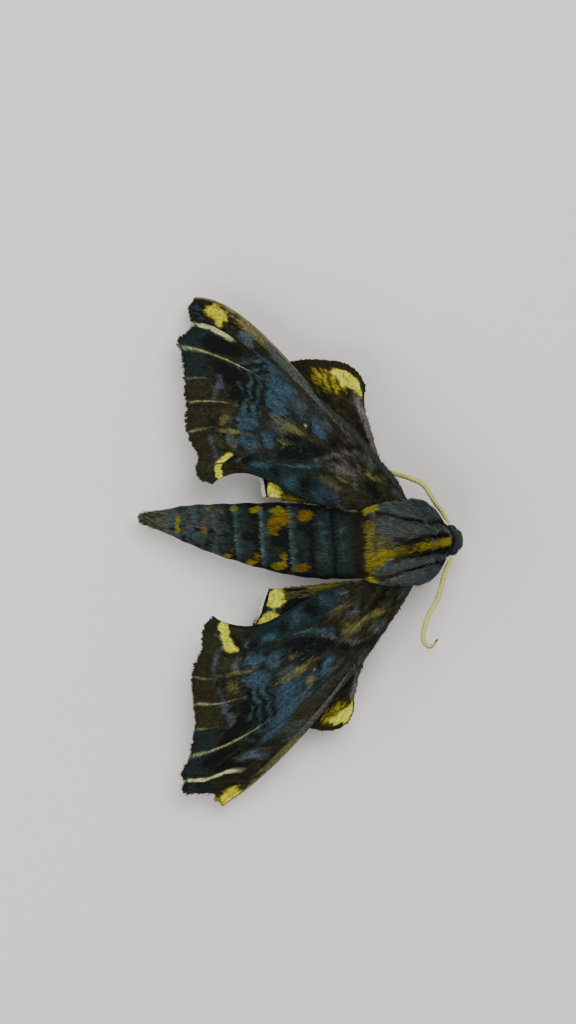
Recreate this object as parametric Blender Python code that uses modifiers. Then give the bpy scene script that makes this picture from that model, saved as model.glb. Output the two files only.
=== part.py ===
"""Small-eyed sphinx moth at rest with its wings spread, life size.

Metres, +Z up, head towards -Y, the moth's left towards +X. Sizes below are in millimetres
unless a name says otherwise, and every point is measured from the centre of the box on the
floor.
"""

import math

import bmesh
import bpy
from mathutils import Vector

MM = 0.001
UP = Vector((0.0, 0.0, 1.0))
GAP = 0.3

# Body sizes
THORAX_SIDES = 40
ABDOMEN_SIDES = 28
HEAD_SIDES = 28
SHOULDER_BULGE = 0.12
GROOVE_DEPTH = 0.035
SEGMENT_STEP = 0.06
EYE_RADIUS = 0.50
EYE_FLATNESS = 0.76

# Thorax: distance along the body, half width, half height, height of the centre
THORAX = (
    (-14.12, 1.55, 1.25, 6.30),
    (-13.95, 2.20, 1.85, 6.35),
    (-13.50, 2.95, 2.50, 6.42),
    (-12.80, 3.60, 3.10, 6.50),
    (-12.00, 4.02, 3.52, 6.56),
    (-11.10, 4.22, 3.85, 6.60),
    (-10.10, 4.26, 4.05, 6.62),
    (-9.10, 4.22, 4.12, 6.62),
    (-8.20, 4.12, 4.02, 6.58),
    (-7.40, 3.98, 3.80, 6.50),
    (-6.75, 3.70, 3.45, 6.40),
    (-6.20, 3.30, 3.05, 6.28),
    (-5.80, 2.85, 2.60, 6.18),
    (-5.62, 2.40, 2.15, 6.12),
)

# Abdomen: middle across the body, distance along it, half width, height of the centre
ABDOMEN_FRONT = ((0.06, -5.30, 2.45, 6.00), (0.08, -5.05, 2.95, 5.97))
ABDOMEN_SEGMENTS = (
    (0.20, -4.45, 3.35, 5.88),
    (0.64, -1.70, 3.70, 5.72),
    (1.14, 1.10, 3.68, 5.48),
    (1.66, 4.00, 3.32, 5.12),
    (2.20, 6.60, 2.90, 4.72),
    (2.72, 9.00, 2.48, 4.30),
    (3.20, 10.90, 2.05, 3.92),
    (3.62, 12.70, 1.50, 3.52),
)
ABDOMEN_TAIL = (
    (3.86, 13.90, 1.02, 3.22),
    (4.08, 15.00, 0.66, 2.98),
    (4.22, 15.80, 0.42, 2.84),
    (4.30, 16.25, 0.26, 2.78),
)
ABDOMEN_FLATNESS = 0.88
ABDOMEN_BEND = 0.20

# Head: distance along the body, half width, half height, height of the centre
HEAD = (
    (-14.42, 1.40, 1.20, 5.75),
    (-14.55, 1.62, 1.42, 5.73),
    (-14.72, 1.60, 1.50, 5.70),
    (-14.92, 1.50, 1.50, 5.68),
    (-15.12, 1.36, 1.43, 5.65),
    (-15.32, 1.24, 1.34, 5.62),
    (-15.60, 1.05, 1.15, 5.58),
    (-15.90, 0.78, 0.82, 5.56),
    (-16.08, 0.42, 0.42, 5.56),
)
HEAD_MIDDLE = -0.08
SOCKET_DEPTH = 0.70
SOCKET_ANGLE = -16.0
EYE_PLACE = (1.20, -15.00, 5.24)

# Palps, under the face: distance along the body, height, radius
PALP = (
    (-14.95, 3.62, 0.28),
    (-15.30, 3.66, 0.38),
    (-15.75, 3.90, 0.37),
    (-16.08, 4.28, 0.26),
)
PALP_SPREAD = 0.55
PALP_SIDES = 10

# Wing sheets
VEIN_THICKNESS = 0.80
MEMBRANE_THICKNESS = 0.52
RIDGE_SPREAD = 0.14
FORE_ROWS = 12
HIND_ROWS = 10
HIND_DROP = 1.16
HINGE_X = 4.4
WING_ROOT_HEIGHT = 6.25
WING_RISE = 0.085
WING_DROOP = 0.0105
WING_REAR_FALL = 0.035

# Each vein: leaving angle, arriving angle and the curve's near and far reach
FORE_LEFT_VEINS = (
    (40, 92, 0.38, 0.20),
    (36, 80, 0.38, 0.22),
    (37, 70, 0.38, 0.25),
    (38, 72, 0.38, 0.28),
    (42, 84, 0.38, 0.30),
    (47, 90, 0.38, 0.30),
    (54, 102, 0.38, 0.30),
    (66, 104, 0.38, 0.30),
    (84, 116, 0.42, 0.34),
    (98, 124, 0.50, 0.40),
)
FORE_RIGHT_VEINS = (
    (36, 62, 0.38, 0.25),
    (38, 72, 0.38, 0.22),
    (39, 72, 0.38, 0.25),
    (41, 75, 0.38, 0.28),
    (45, 84, 0.38, 0.30),
    (50, 92, 0.38, 0.30),
    (57, 102, 0.38, 0.30),
    (68, 106, 0.38, 0.30),
    (84, 116, 0.42, 0.36),
    (98, 122, 0.50, 0.45),
)
HIND_LEFT_VEINS = (
    (-14, -16, 0.38, 0.40),
    (-5, 12, 0.34, 0.33),
    (5, 24, 0.33, 0.33),
    (18, 40, 0.33, 0.33),
    (28, 56, 0.33, 0.33),
    (38, 68, 0.33, 0.33),
    (48, 80, 0.33, 0.33),
    (60, 88, 0.33, 0.33),
    (78, 77, 0.38, 0.30),
)
HIND_RIGHT_VEINS = (
    (28, -1, 0.38, 0.30),
    (14, 22, 0.34, 0.33),
    (17, 34, 0.33, 0.33),
    (29, 50, 0.33, 0.33),
    (38, 66, 0.33, 0.33),
    (48, 78, 0.33, 0.33),
    (58, 90, 0.33, 0.33),
    (70, 98, 0.33, 0.33),
    (94, 98, 0.38, 0.30),
)
# Scalloped outer edge of each wing: vein number, distance out, distance along the body
FORE_LEFT_EDGE = (
    (0.00, 26.05, 9.15),
    (0.50, 25.35, 9.40),
    (1.00, 24.55, 9.45),
    (1.50, 23.75, 9.35),
    (2.00, 23.05, 9.12),
    (2.14, 22.75, 9.65),
    (2.50, 22.05, 10.60),
    (2.86, 21.45, 11.02),
    (3.00, 20.85, 10.62),
    (3.50, 19.30, 10.55),
    (4.00, 17.70, 10.42),
    (4.50, 16.55, 10.50),
    (5.00, 15.40, 10.38),
    (5.50, 13.80, 10.65),
    (5.86, 12.75, 10.60),
    (6.00, 12.25, 10.42),
    (6.50, 11.10, 10.02),
    (7.00, 9.90, 9.45),
    (7.14, 9.55, 9.60),
    (7.50, 8.95, 9.88),
    (8.00, 8.10, 9.65),
    (8.50, 7.60, 9.10),
    (9.00, 7.30, 8.50),
)
FORE_RIGHT_EDGE = (
    (0.00, 25.20, 9.90),
    (0.50, 24.45, 10.25),
    (1.00, 23.78, 10.65),
    (1.14, 23.62, 12.95),
    (1.50, 23.25, 13.60),
    (1.86, 22.50, 13.45),
    (2.00, 22.20, 13.25),
    (2.14, 21.80, 13.62),
    (2.50, 21.10, 13.28),
    (3.00, 19.70, 12.48),
    (3.50, 18.35, 12.22),
    (4.00, 17.05, 11.90),
    (4.50, 15.75, 11.82),
    (5.00, 14.55, 11.68),
    (5.50, 13.20, 11.88),
    (6.00, 11.70, 11.74),
    (6.50, 10.60, 11.25),
    (7.00, 9.40, 10.62),
    (7.50, 8.30, 10.44),
    (8.00, 7.25, 10.26),
    (8.50, 6.65, 9.85),
    (9.00, 6.15, 9.30),
)
HIND_LEFT_EDGE = (
    (0.00, 15.50, -7.38),
    (0.14, 16.20, -7.28),
    (0.50, 17.35, -6.70),
    (0.86, 18.15, -5.85),
    (1.00, 18.45, -5.35),
    (1.50, 18.85, -3.50),
    (2.00, 19.05, -1.60),
    (2.50, 18.85, 0.50),
    (3.00, 18.10, 2.40),
    (3.50, 17.00, 3.90),
    (4.00, 15.50, 4.90),
    (4.50, 14.10, 5.32),
    (5.00, 12.60, 5.40),
    (5.50, 11.25, 5.22),
    (6.00, 9.80, 4.70),
    (6.50, 8.95, 4.20),
    (7.00, 8.12, 3.60),
    (7.50, 6.75, 3.42),
    (8.00, 5.58, 3.32),
)
HIND_RIGHT_EDGE = (
    (0.00, 15.60, -4.05),
    (0.14, 16.50, -3.90),
    (0.50, 17.50, -3.35),
    (0.86, 18.10, -2.50),
    (1.00, 18.25, -2.00),
    (1.50, 18.20, -0.50),
    (2.00, 17.90, 0.50),
    (2.50, 17.35, 2.35),
    (3.00, 16.40, 4.20),
    (3.50, 15.05, 5.50),
    (4.00, 13.30, 6.40),
    (4.50, 11.80, 6.62),
    (5.00, 10.30, 6.50),
    (5.50, 9.00, 6.22),
    (6.00, 7.65, 5.75),
    (6.50, 6.90, 5.20),
    (7.00, 6.00, 4.60),
    (7.50, 4.80, 4.18),
    (8.00, 3.65, 3.68),
)
# Root lines: front and rear distance along the body
FORE_ROOT = (-10.70, -6.90)
HIND_ROOT = (-8.30, -6.50)

# Antennae: point and radius
ANTENNA_LEFT = (
    (1.65, -14.80, 6.37, 0.25),
    (2.20, -14.50, 6.45, 0.25),
    (2.91, -14.17, 6.42, 0.25),
    (3.43, -13.81, 6.36, 0.26),
    (4.00, -13.47, 6.28, 0.27),
    (4.78, -13.08, 6.10, 0.28),
    (5.42, -12.74, 5.88, 0.28),
    (5.95, -12.18, 5.58, 0.28),
    (6.32, -11.48, 5.20, 0.28),
    (6.70, -10.60, 4.75, 0.27),
    (7.02, -9.60, 4.30, 0.27),
    (7.40, -8.35, 3.90, 0.26),
    (7.80, -7.20, 3.65, 0.25),
    (8.25, -6.65, 3.55, 0.20),
    (8.70, -6.75, 3.55, 0.12),
)
ANTENNA_RIGHT = (
    (-1.81, -14.80, 6.37, 0.25),
    (-2.28, -14.54, 6.45, 0.25),
    (-2.87, -14.26, 6.42, 0.25),
    (-3.45, -13.98, 6.36, 0.26),
    (-4.20, -13.76, 6.28, 0.27),
    (-5.17, -13.43, 6.10, 0.28),
    (-5.95, -13.14, 5.98, 0.28),
    (-6.80, -12.54, 5.88, 0.28),
    (-7.68, -12.03, 5.75, 0.28),
    (-8.65, -11.66, 5.60, 0.27),
    (-9.44, -11.47, 5.46, 0.26),
    (-10.02, -11.54, 5.40, 0.24),
    (-10.45, -11.82, 5.36, 0.20),
    (-10.50, -12.18, 5.34, 0.17),
    (-10.22, -12.54, 5.34, 0.14),
    (-9.86, -12.88, 5.34, 0.12),
)
ANTENNA_SIDES = 8

# Legs, left side: distance along the body and angle below the side where the leg starts
LEG_SIDES = 8
LEGS = {
    "front": (
        (-12.10, -62.0),
        ((2.90, -12.55, 2.75, 0.52), (3.55, -12.35, 2.05, 0.42)),
        ((3.30, -11.85, 1.05, 0.34), (3.00, -12.05, 0.52, 0.34)),
        ((2.80, -12.60, 0.22, 0.34), (2.62, -13.25, 0.20, 0.30)),
    ),
    "middle": (
        (-9.70, -58.0),
        ((4.10, -9.30, 3.35, 0.60), (5.90, -8.60, 3.30, 0.50)),
        ((6.60, -7.30, 1.90, 0.36), (7.20, -6.30, 0.66, 0.36)),
        ((7.75, -5.50, 0.22, 0.34), (8.60, -4.40, 0.20, 0.30)),
    ),
    "hind": (
        (-7.60, -58.0),
        ((3.90, -6.20, 3.35, 0.62), (5.50, -4.70, 3.25, 0.52)),
        ((6.15, -2.70, 1.90, 0.36), (6.60, -1.00, 0.66, 0.36)),
        ((6.90, 0.15, 0.22, 0.34), (7.25, 2.10, 0.20, 0.30)),
    ),
}
RIGHT_SWAY = {"front": -0.15, "middle": 0.25, "hind": 0.35}

# Locks of longer hair: root, tip, half width, half thickness
TAIL_LOCKS = (
    ((3.70, 13.60, 3.70), (3.45, 15.55, 3.62), 0.42, 0.24),
    ((4.25, 13.60, 3.55), (4.92, 15.60, 3.40), 0.42, 0.24),
    ((3.95, 14.20, 3.75), (4.08, 16.10, 3.42), 0.40, 0.22),
    ((3.75, 14.00, 2.90), (3.62, 15.85, 2.50), 0.40, 0.22),
    ((4.30, 14.00, 2.85), (4.70, 15.95, 2.50), 0.40, 0.22),
)
SHOULDER_LOCKS = (
    ((3.30, -8.60, 8.95), (4.15, -6.60, 7.95), 0.60, 0.32),
    ((2.70, -8.30, 9.55), (3.35, -6.20, 8.75), 0.60, 0.32),
    ((3.70, -9.00, 8.25), (4.45, -7.10, 7.45), 0.50, 0.30),
)
CREST_LOCKS = (
    ((0.00, -7.70, 10.10), (0.00, -5.60, 9.75), 0.70, 0.34),
    ((1.05, -7.70, 9.95), (1.25, -5.65, 9.45), 0.62, 0.32),
    ((1.95, -7.80, 9.60), (2.35, -5.85, 9.00), 0.60, 0.32),
)
LOCK_STEPS = (0.0, 0.35, 0.7, 1.0)
LOCK_TAPER = (1.0, 0.92, 0.58, 0.20)

COLOURS = {
    "grey_fur": (0.060, 0.070, 0.078, 0.85),
    "abdomen_scales": (0.050, 0.062, 0.070, 0.80),
    "head_fur": (0.045, 0.055, 0.062, 0.88),
    "forewing_scales": (0.045, 0.048, 0.048, 0.80),
    "hindwing_scales": (0.075, 0.062, 0.028, 0.82),
    "antenna_lime": (0.560, 0.580, 0.260, 0.60),
    "eye_dark": (0.012, 0.010, 0.010, 0.15),
    "leg_fur": (0.085, 0.060, 0.040, 0.85),
    "palp_fur": (0.050, 0.045, 0.045, 0.88),
}


def clear_scene():
    for obj in list(bpy.data.objects):
        bpy.data.objects.remove(obj)


def make_material(name):
    red, green, blue, roughness = COLOURS[name]
    material = bpy.data.materials.new(name)
    material.use_nodes = True
    shader = material.node_tree.nodes["Principled BSDF"]
    shader.inputs["Base Color"].default_value = (red, green, blue, 1.0)
    shader.inputs["Roughness"].default_value = roughness
    shader.inputs["Metallic"].default_value = 0.0
    material.diffuse_color = (red, green, blue, 1.0)
    return material


def add_object(name, mesh_builder, colour):
    mesh = bpy.data.meshes.new(name)
    mesh_builder.to_mesh(mesh)
    mesh_builder.free()
    obj = bpy.data.objects.new(name, mesh)
    bpy.data.collections["small_eyed_sphinx_moth"].objects.link(obj)
    mesh.materials.append(bpy.data.materials[colour])
    return obj


def mix(low, high, share):
    return low + (high - low) * share


def table_row(rows, place):
    """Row of a table at a place between its rows, straight between neighbours."""
    index = min(int(place), len(rows) - 2)
    share = place - index
    return [mix(a, b, share) for a, b in zip(rows[index], rows[index + 1])]


def loft(name, stations, sides, colour, hint=UP, shape=None, floor=None, lean=None):
    """Sphere whose rings are moved onto stations: centre, half width, half height.

    The two poles close the first and the last ring flat. The rings stand square to the path,
    or to the direction that lean gives for them.
    """
    builder = bmesh.new()
    bmesh.ops.create_uvsphere(
        builder, u_segments=sides, v_segments=len(stations) + 1, radius=1.0
    )
    count = len(stations)
    for vert in builder.verts:
        polar = math.acos(max(-1.0, min(1.0, vert.co.z)))
        ring = round(polar / math.pi * (count + 1)) - 1
        at_pole = ring < 0 or ring >= count
        place = max(0, min(count - 1, ring))
        before = Vector(stations[max(0, place - 1)][0])
        after = Vector(stations[min(count - 1, place + 1)][0])
        along = (after - before).normalized()
        if lean is not None:
            along = lean(place).normalized()
        side = along.cross(hint).normalized()
        lift = side.cross(along).normalized()
        centre, width, height = stations[place]
        angle = math.atan2(vert.co.y, vert.co.x)
        spread = 0.0 if at_pole else 1.0
        if shape is not None and not at_pole:
            spread = shape(math.degrees(angle) % 360.0, place)
        point = Vector(centre)
        point += side * (width * math.cos(angle) * spread)
        point += lift * (height * math.sin(angle) * spread)
        if floor is not None:
            point.z = max(floor, point.z)
        vert.co = point * MM
    bmesh.ops.recalc_face_normals(builder, faces=builder.faces)
    if builder.calc_volume(signed=True) < 0.0:
        bmesh.ops.reverse_faces(builder, faces=builder.faces)
    return add_object(name, builder, colour)


def fuse_locks(obj, locks, colour):
    """Roots flat tapered locks in a node and fuses them with it in one union."""
    extras = bpy.data.collections.new(obj.name + "_locks")
    bpy.context.scene.collection.children.link(extras)
    for number, (root, tip, width, thickness) in enumerate(locks):
        start = Vector(root)
        run = Vector(tip) - start
        stations = []
        for step, taper in zip(LOCK_STEPS, LOCK_TAPER):
            rise = UP * (0.12 * math.sin(math.pi * step))
            stations.append((start + run * step + rise, width * taper, thickness * taper))
        lock = loft(f"{obj.name}_lock_{number}", stations, 8, colour)
        extras.objects.link(lock)
        bpy.data.collections["small_eyed_sphinx_moth"].objects.unlink(lock)
    union = obj.modifiers.new("locks", "BOOLEAN")
    union.operation = "UNION"
    union.operand_type = "COLLECTION"
    union.collection = extras
    union.solver = "EXACT"
    bpy.context.view_layer.update()
    graph = bpy.context.evaluated_depsgraph_get()
    fused = bpy.data.meshes.new_from_object(obj.evaluated_get(graph))
    obj.modifiers.clear()
    obj.data = fused
    for lock in list(extras.objects):
        bpy.data.objects.remove(lock)
    bpy.data.collections.remove(extras)
    keep_largest(obj)


def keep_largest(obj):
    """Drops every closed surface of the mesh but the largest."""
    builder = bmesh.new()
    builder.from_mesh(obj.data)
    unseen = set(builder.verts)
    groups = []
    while unseen:
        front = [unseen.pop()]
        group = list(front)
        while front:
            vert = front.pop()
            for edge in vert.link_edges:
                other = edge.other_vert(vert)
                if other in unseen:
                    unseen.remove(other)
                    front.append(other)
                    group.append(other)
        groups.append(group)
    groups.sort(key=len)
    for group in groups[:-1]:
        bmesh.ops.delete(builder, geom=group, context="VERTS")
    builder.to_mesh(obj.data)
    builder.free()


def both_sides(locks):
    """The locks with their mirror images, those on the middle line once."""
    every = list(locks)
    for root, tip, width, thickness in locks:
        if root[0] > 0.0:
            across = ((-root[0], root[1], root[2]), (-tip[0], tip[1], tip[2]), width, thickness)
            every.append(across)
    return every


def bump(angle, middle, spread):
    """Smooth hump of height 1 around an angle, in degrees, zero past the spread."""
    away = abs((angle - middle + 180.0) % 360.0 - 180.0) / spread
    return 0.0 if away >= 1.0 else 0.5 + 0.5 * math.cos(math.pi * away)


def straight(_):
    return Vector((0.0, 1.0, 0.0))


def sideways(place):
    """The abdomen's rings turn with its bend towards the left over the first segments."""
    turn = ABDOMEN_BEND * min(1.0, place / 8.0)
    return Vector((turn, 1.0, -0.6 * turn))


def mirrored(angle):
    return angle if angle <= 90.0 or angle > 270.0 else 180.0 - angle


def thorax_swell(angle, place):
    """Shoulder lobes over the wing roots, with the grooves that part the fur bands."""
    along = math.sin(math.pi * min(1.0, place / (len(THORAX) - 1.0)))
    swell = 1.0 + SHOULDER_BULGE * along * bump(mirrored(angle), 31.0, 24.0)
    swell -= GROOVE_DEPTH * along * bump(mirrored(angle), 58.0, 9.0)
    swell -= GROOVE_DEPTH * along * bump(mirrored(angle), 76.0, 9.0)
    return swell


def head_sockets(angle, place):
    """Hollow on each side of the head that the eye sits in."""
    away = SOCKET_ANGLE + 50.0 * (HEAD[place][0] - EYE_PLACE[1]) / EYE_RADIUS
    hollow = bump(mirrored(angle), SOCKET_ANGLE, 58.0) * bump(away, SOCKET_ANGLE, 88.0)
    return 1.0 - SOCKET_DEPTH * min(1.0, 1.6 * hollow)


def thorax_point(along, angle, clearance):
    """Point off the thorax's side at a distance along the body and an angle, in degrees."""
    index = 0
    while index < len(THORAX) - 2 and THORAX[index + 1][0] < along:
        index += 1
    low = THORAX[index]
    high = THORAX[index + 1]
    share = (along - low[0]) / (high[0] - low[0])
    _, width, height, middle = (mix(a, b, share) for a, b in zip(low, high))
    turn = math.radians(angle)
    point = Vector((width * math.cos(turn), along, middle + height * math.sin(turn)))
    away = Vector((math.cos(turn) / width, 0.0, math.sin(turn) / height)).normalized()
    return point + away * clearance, away


def build_thorax():
    stations = [((0.0, y, z), width, height) for y, width, height, z in THORAX]
    thorax = loft("thorax", stations, THORAX_SIDES, "grey_fur", shape=thorax_swell, lean=straight)
    fuse_locks(thorax, both_sides(SHOULDER_LOCKS) + both_sides(CREST_LOCKS), "grey_fur")


def build_head():
    stations = [((HEAD_MIDDLE, y, z), width, height) for y, width, height, z in HEAD]
    loft("head", stations, HEAD_SIDES, "head_fur", shape=head_sockets, lean=straight)


def abdomen_stations():
    """Rings of the abdomen: each segment swells, then steps in under the one before it."""
    stations = []

    def add(x, y, width, z, scale=1.0):
        stations.append(
            ((x, y, z), width * scale, width * ABDOMEN_FLATNESS * scale)
        )

    for ring in ABDOMEN_FRONT:
        add(*ring)
    for index, segment in enumerate(ABDOMEN_SEGMENTS):
        add(*segment, scale=1.0 - 0.5 * SEGMENT_STEP)
        following = ABDOMEN_SEGMENTS[min(index + 1, len(ABDOMEN_SEGMENTS) - 1)]
        if following is segment:
            following = ABDOMEN_TAIL[0]
        add(*(mix(a, b, 0.10) for a, b in zip(segment, following)), scale=1.0 - SEGMENT_STEP)
        add(*(mix(a, b, 0.45) for a, b in zip(segment, following)), scale=1.01)
        add(*(mix(a, b, 0.90) for a, b in zip(segment, following)), scale=1.0)
    for ring in ABDOMEN_TAIL:
        add(*ring)
    return stations


def build_abdomen():
    rings = abdomen_stations()
    abdomen = loft("abdomen", rings, ABDOMEN_SIDES, "abdomen_scales", lean=sideways)
    fuse_locks(abdomen, TAIL_LOCKS, "abdomen_scales")


def build_eyes_and_palps():
    for side, sign in (("left", 1.0), ("right", -1.0)):
        builder = bmesh.new()
        bmesh.ops.create_uvsphere(
            builder, u_segments=12, v_segments=8, radius=EYE_RADIUS * MM
        )
        place = Vector((sign * EYE_PLACE[0] + HEAD_MIDDLE, EYE_PLACE[1], EYE_PLACE[2])) * MM
        bmesh.ops.scale(builder, verts=builder.verts, vec=(EYE_FLATNESS, 1.0, 1.0))
        bmesh.ops.translate(builder, verts=builder.verts, vec=place)
        add_object(f"eye_{side}", builder, "eye_dark")
        middle = sign * PALP_SPREAD + HEAD_MIDDLE
        palp = [((middle, y, z), radius, radius * 1.1) for y, z, radius in PALP]
        loft(f"palp_{side}", palp, PALP_SIDES, "palp_fur")


def build_antenna(side, path):
    stations = [((x, y, z), radius, radius) for x, y, z, radius in path]
    loft(f"antenna_{side}", stations, ANTENNA_SIDES, "antenna_lime")


def build_leg(name, side):
    """Tube from the thorax's underside through knee and ankle to a foot flat on the floor."""
    (along, angle), thigh, shin, foot = LEGS[name]
    sign = 1.0 if side == "left" else -1.0
    sway = 0.0 if side == "left" else RIGHT_SWAY[name]
    start, away = thorax_point(along, angle, GAP + 0.05)
    second = start + away * 0.55
    points = [(*start, 0.42), (*second, 0.60)]
    points += [thigh[0], thigh[1], shin[0], shin[1], foot[0], foot[1]]
    last = Vector(foot[1][:3]) + (Vector(foot[1][:3]) - Vector(foot[0][:3])).normalized() * 0.3
    points.append((last.x, last.y, foot[1][2], 0.16))
    stations = []
    for index, (x, y, z, radius) in enumerate(points):
        shift = sway * index / (len(points) - 1)
        stations.append(((sign * x, y + shift, z), radius, radius))
    across = Vector((stations[-1][0][0], stations[-1][0][1], 0.0))
    across -= Vector((stations[0][0][0], stations[0][0][1], 0.0))
    hint = Vector((-across.y, across.x, 0.0)).normalized()
    loft(f"leg_{name}_{side}", stations, LEG_SIDES, "leg_fur", hint=hint, floor=0.0)


def wing_height(x, y):
    """Height of the forewing sheet: a low arch out from the hinge, falling to the rear."""
    out = max(0.0, abs(x) - HINGE_X)
    return WING_ROOT_HEIGHT + WING_RISE * out - WING_DROOP * out * out - WING_REAR_FALL * (y + 8.0)


def wing_point(veins, edge, root, place, share):
    """Point on the line of a vein number: a cubic curve from the root line to the edge."""
    across = place / (len(veins) - 1)
    leave, arrive, near, far = table_row(veins, place)
    start = Vector(root[0]) * (1.0 - across) + Vector(root[1]) * across
    end = edge_point(edge, place)
    length = (end - start).length
    leave = math.radians(leave)
    arrive = math.radians(arrive)
    first = start + Vector((math.cos(leave), math.sin(leave))) * (near * length)
    second = end - Vector((math.cos(arrive), math.sin(arrive))) * (far * length)
    rest = 1.0 - share
    return (
        start * rest**3
        + first * (3.0 * share * rest * rest)
        + second * (3.0 * share * share * rest)
        + end * share**3
    )


def edge_point(edge, place):
    """Point of the wing's scalloped outer edge at a vein number."""
    for row, after in zip(edge, edge[1:]):
        if place <= after[0]:
            break
    share = (place - row[0]) / (after[0] - row[0])
    return Vector(row[1:]).lerp(Vector(after[1:]), share)


def wing_columns(veins):
    """Vein numbers of the sheet's columns: each vein, its two feet and the middle between."""
    places = []
    for index in range(len(veins) - 1):
        places += [index, index + RIDGE_SPREAD, index + 0.5, index + 1.0 - RIDGE_SPREAD]
    places.append(len(veins) - 1)
    return places


def root_line(span, inset):
    """Front and rear ends of a wing's root, held off the thorax's side."""
    points = []
    for along in span:
        point, _ = thorax_point(along, 0.0, inset)
        points.append((point.x, along))
    return points


def build_wing(name, sign, veins, edge, root, rows, drop, colour):
    places = wing_columns(veins)
    builder = bmesh.new()
    bmesh.ops.create_grid(
        builder, x_segments=len(places) - 1, y_segments=rows, size=1.0
    )
    ridges = []
    for vert in builder.verts:
        column = round((vert.co.x + 1.0) / 2.0 * (len(places) - 1))
        share = (vert.co.y + 1.0) / 2.0
        point = wing_point(veins, edge, root, places[column], share)
        height = wing_height(point.x, point.y) - drop
        vert.co = Vector((sign * point.x, point.y, height)) * MM
        if float(places[column]).is_integer():
            ridges.append(vert.index)
    bmesh.ops.recalc_face_normals(builder, faces=builder.faces)
    obj = add_object(name, builder, colour)
    group = obj.vertex_groups.new(name="vein_ridges")
    group.add(ridges, 1.0, "REPLACE")
    split = obj.modifiers.new("split", "TRIANGULATE")
    split.quad_method = "SHORTEST_DIAGONAL"
    sheet = obj.modifiers.new("sheet", "SOLIDIFY")
    sheet.thickness = VEIN_THICKNESS * MM
    sheet.offset = 0.0
    sheet.vertex_group = group.name
    sheet.thickness_vertex_group = MEMBRANE_THICKNESS / VEIN_THICKNESS
    return obj


def build_wings():
    fore_root = root_line(FORE_ROOT, GAP + 0.12)
    hind_root = root_line(HIND_ROOT, GAP + 0.25)
    fore = (fore_root, FORE_ROWS, 0.0, "forewing_scales")
    hind = (hind_root, HIND_ROWS, HIND_DROP, "hindwing_scales")
    build_wing("forewing_left", 1.0, FORE_LEFT_VEINS, FORE_LEFT_EDGE, *fore)
    build_wing("forewing_right", -1.0, FORE_RIGHT_VEINS, FORE_RIGHT_EDGE, *fore)
    build_wing("hindwing_left", 1.0, HIND_LEFT_VEINS, HIND_LEFT_EDGE, *hind)
    build_wing("hindwing_right", -1.0, HIND_RIGHT_VEINS, HIND_RIGHT_EDGE, *hind)


def main():
    clear_scene()
    collection = bpy.data.collections.new("small_eyed_sphinx_moth")
    bpy.context.scene.collection.children.link(collection)
    for name in COLOURS:
        make_material(name)
    build_thorax()
    build_abdomen()
    build_head()
    build_eyes_and_palps()
    build_antenna("left", ANTENNA_LEFT)
    build_antenna("right", ANTENNA_RIGHT)
    for name in LEGS:
        build_leg(name, "left")
        build_leg(name, "right")
    build_wings()


if __name__ == "__main__":
    main()
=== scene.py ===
"""Small-eyed sphinx moth with its wings spread: the fur, scales, markings and finishes.

Lengths in the tables are millimetres, head towards -Y and the moth's left towards +X.
"""

import math

import bpy
import numpy as np
from mathutils import Matrix, Vector


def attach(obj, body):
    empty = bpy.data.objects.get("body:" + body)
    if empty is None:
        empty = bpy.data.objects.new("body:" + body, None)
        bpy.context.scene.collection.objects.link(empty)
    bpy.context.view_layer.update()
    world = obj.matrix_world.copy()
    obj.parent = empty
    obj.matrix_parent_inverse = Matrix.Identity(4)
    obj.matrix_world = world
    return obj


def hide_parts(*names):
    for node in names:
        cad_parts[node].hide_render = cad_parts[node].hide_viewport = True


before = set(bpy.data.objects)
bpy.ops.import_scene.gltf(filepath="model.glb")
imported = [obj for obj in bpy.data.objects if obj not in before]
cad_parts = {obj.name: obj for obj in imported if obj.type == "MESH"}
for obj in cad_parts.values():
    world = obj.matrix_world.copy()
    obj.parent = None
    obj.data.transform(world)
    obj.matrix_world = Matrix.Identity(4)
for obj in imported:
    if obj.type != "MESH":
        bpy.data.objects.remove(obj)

bl_info = {
    "name": "Small-eyed sphinx moth",
    "version": (1, 0, 0),
    "blender": (4, 5, 0),
    "location": "3D View > Sidebar > Moth",
    "description": "Builds the moth's fur, scaled wings, feelers, legs and its plain stage",
    "category": "Object",
}

MM = 0.001

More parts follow.
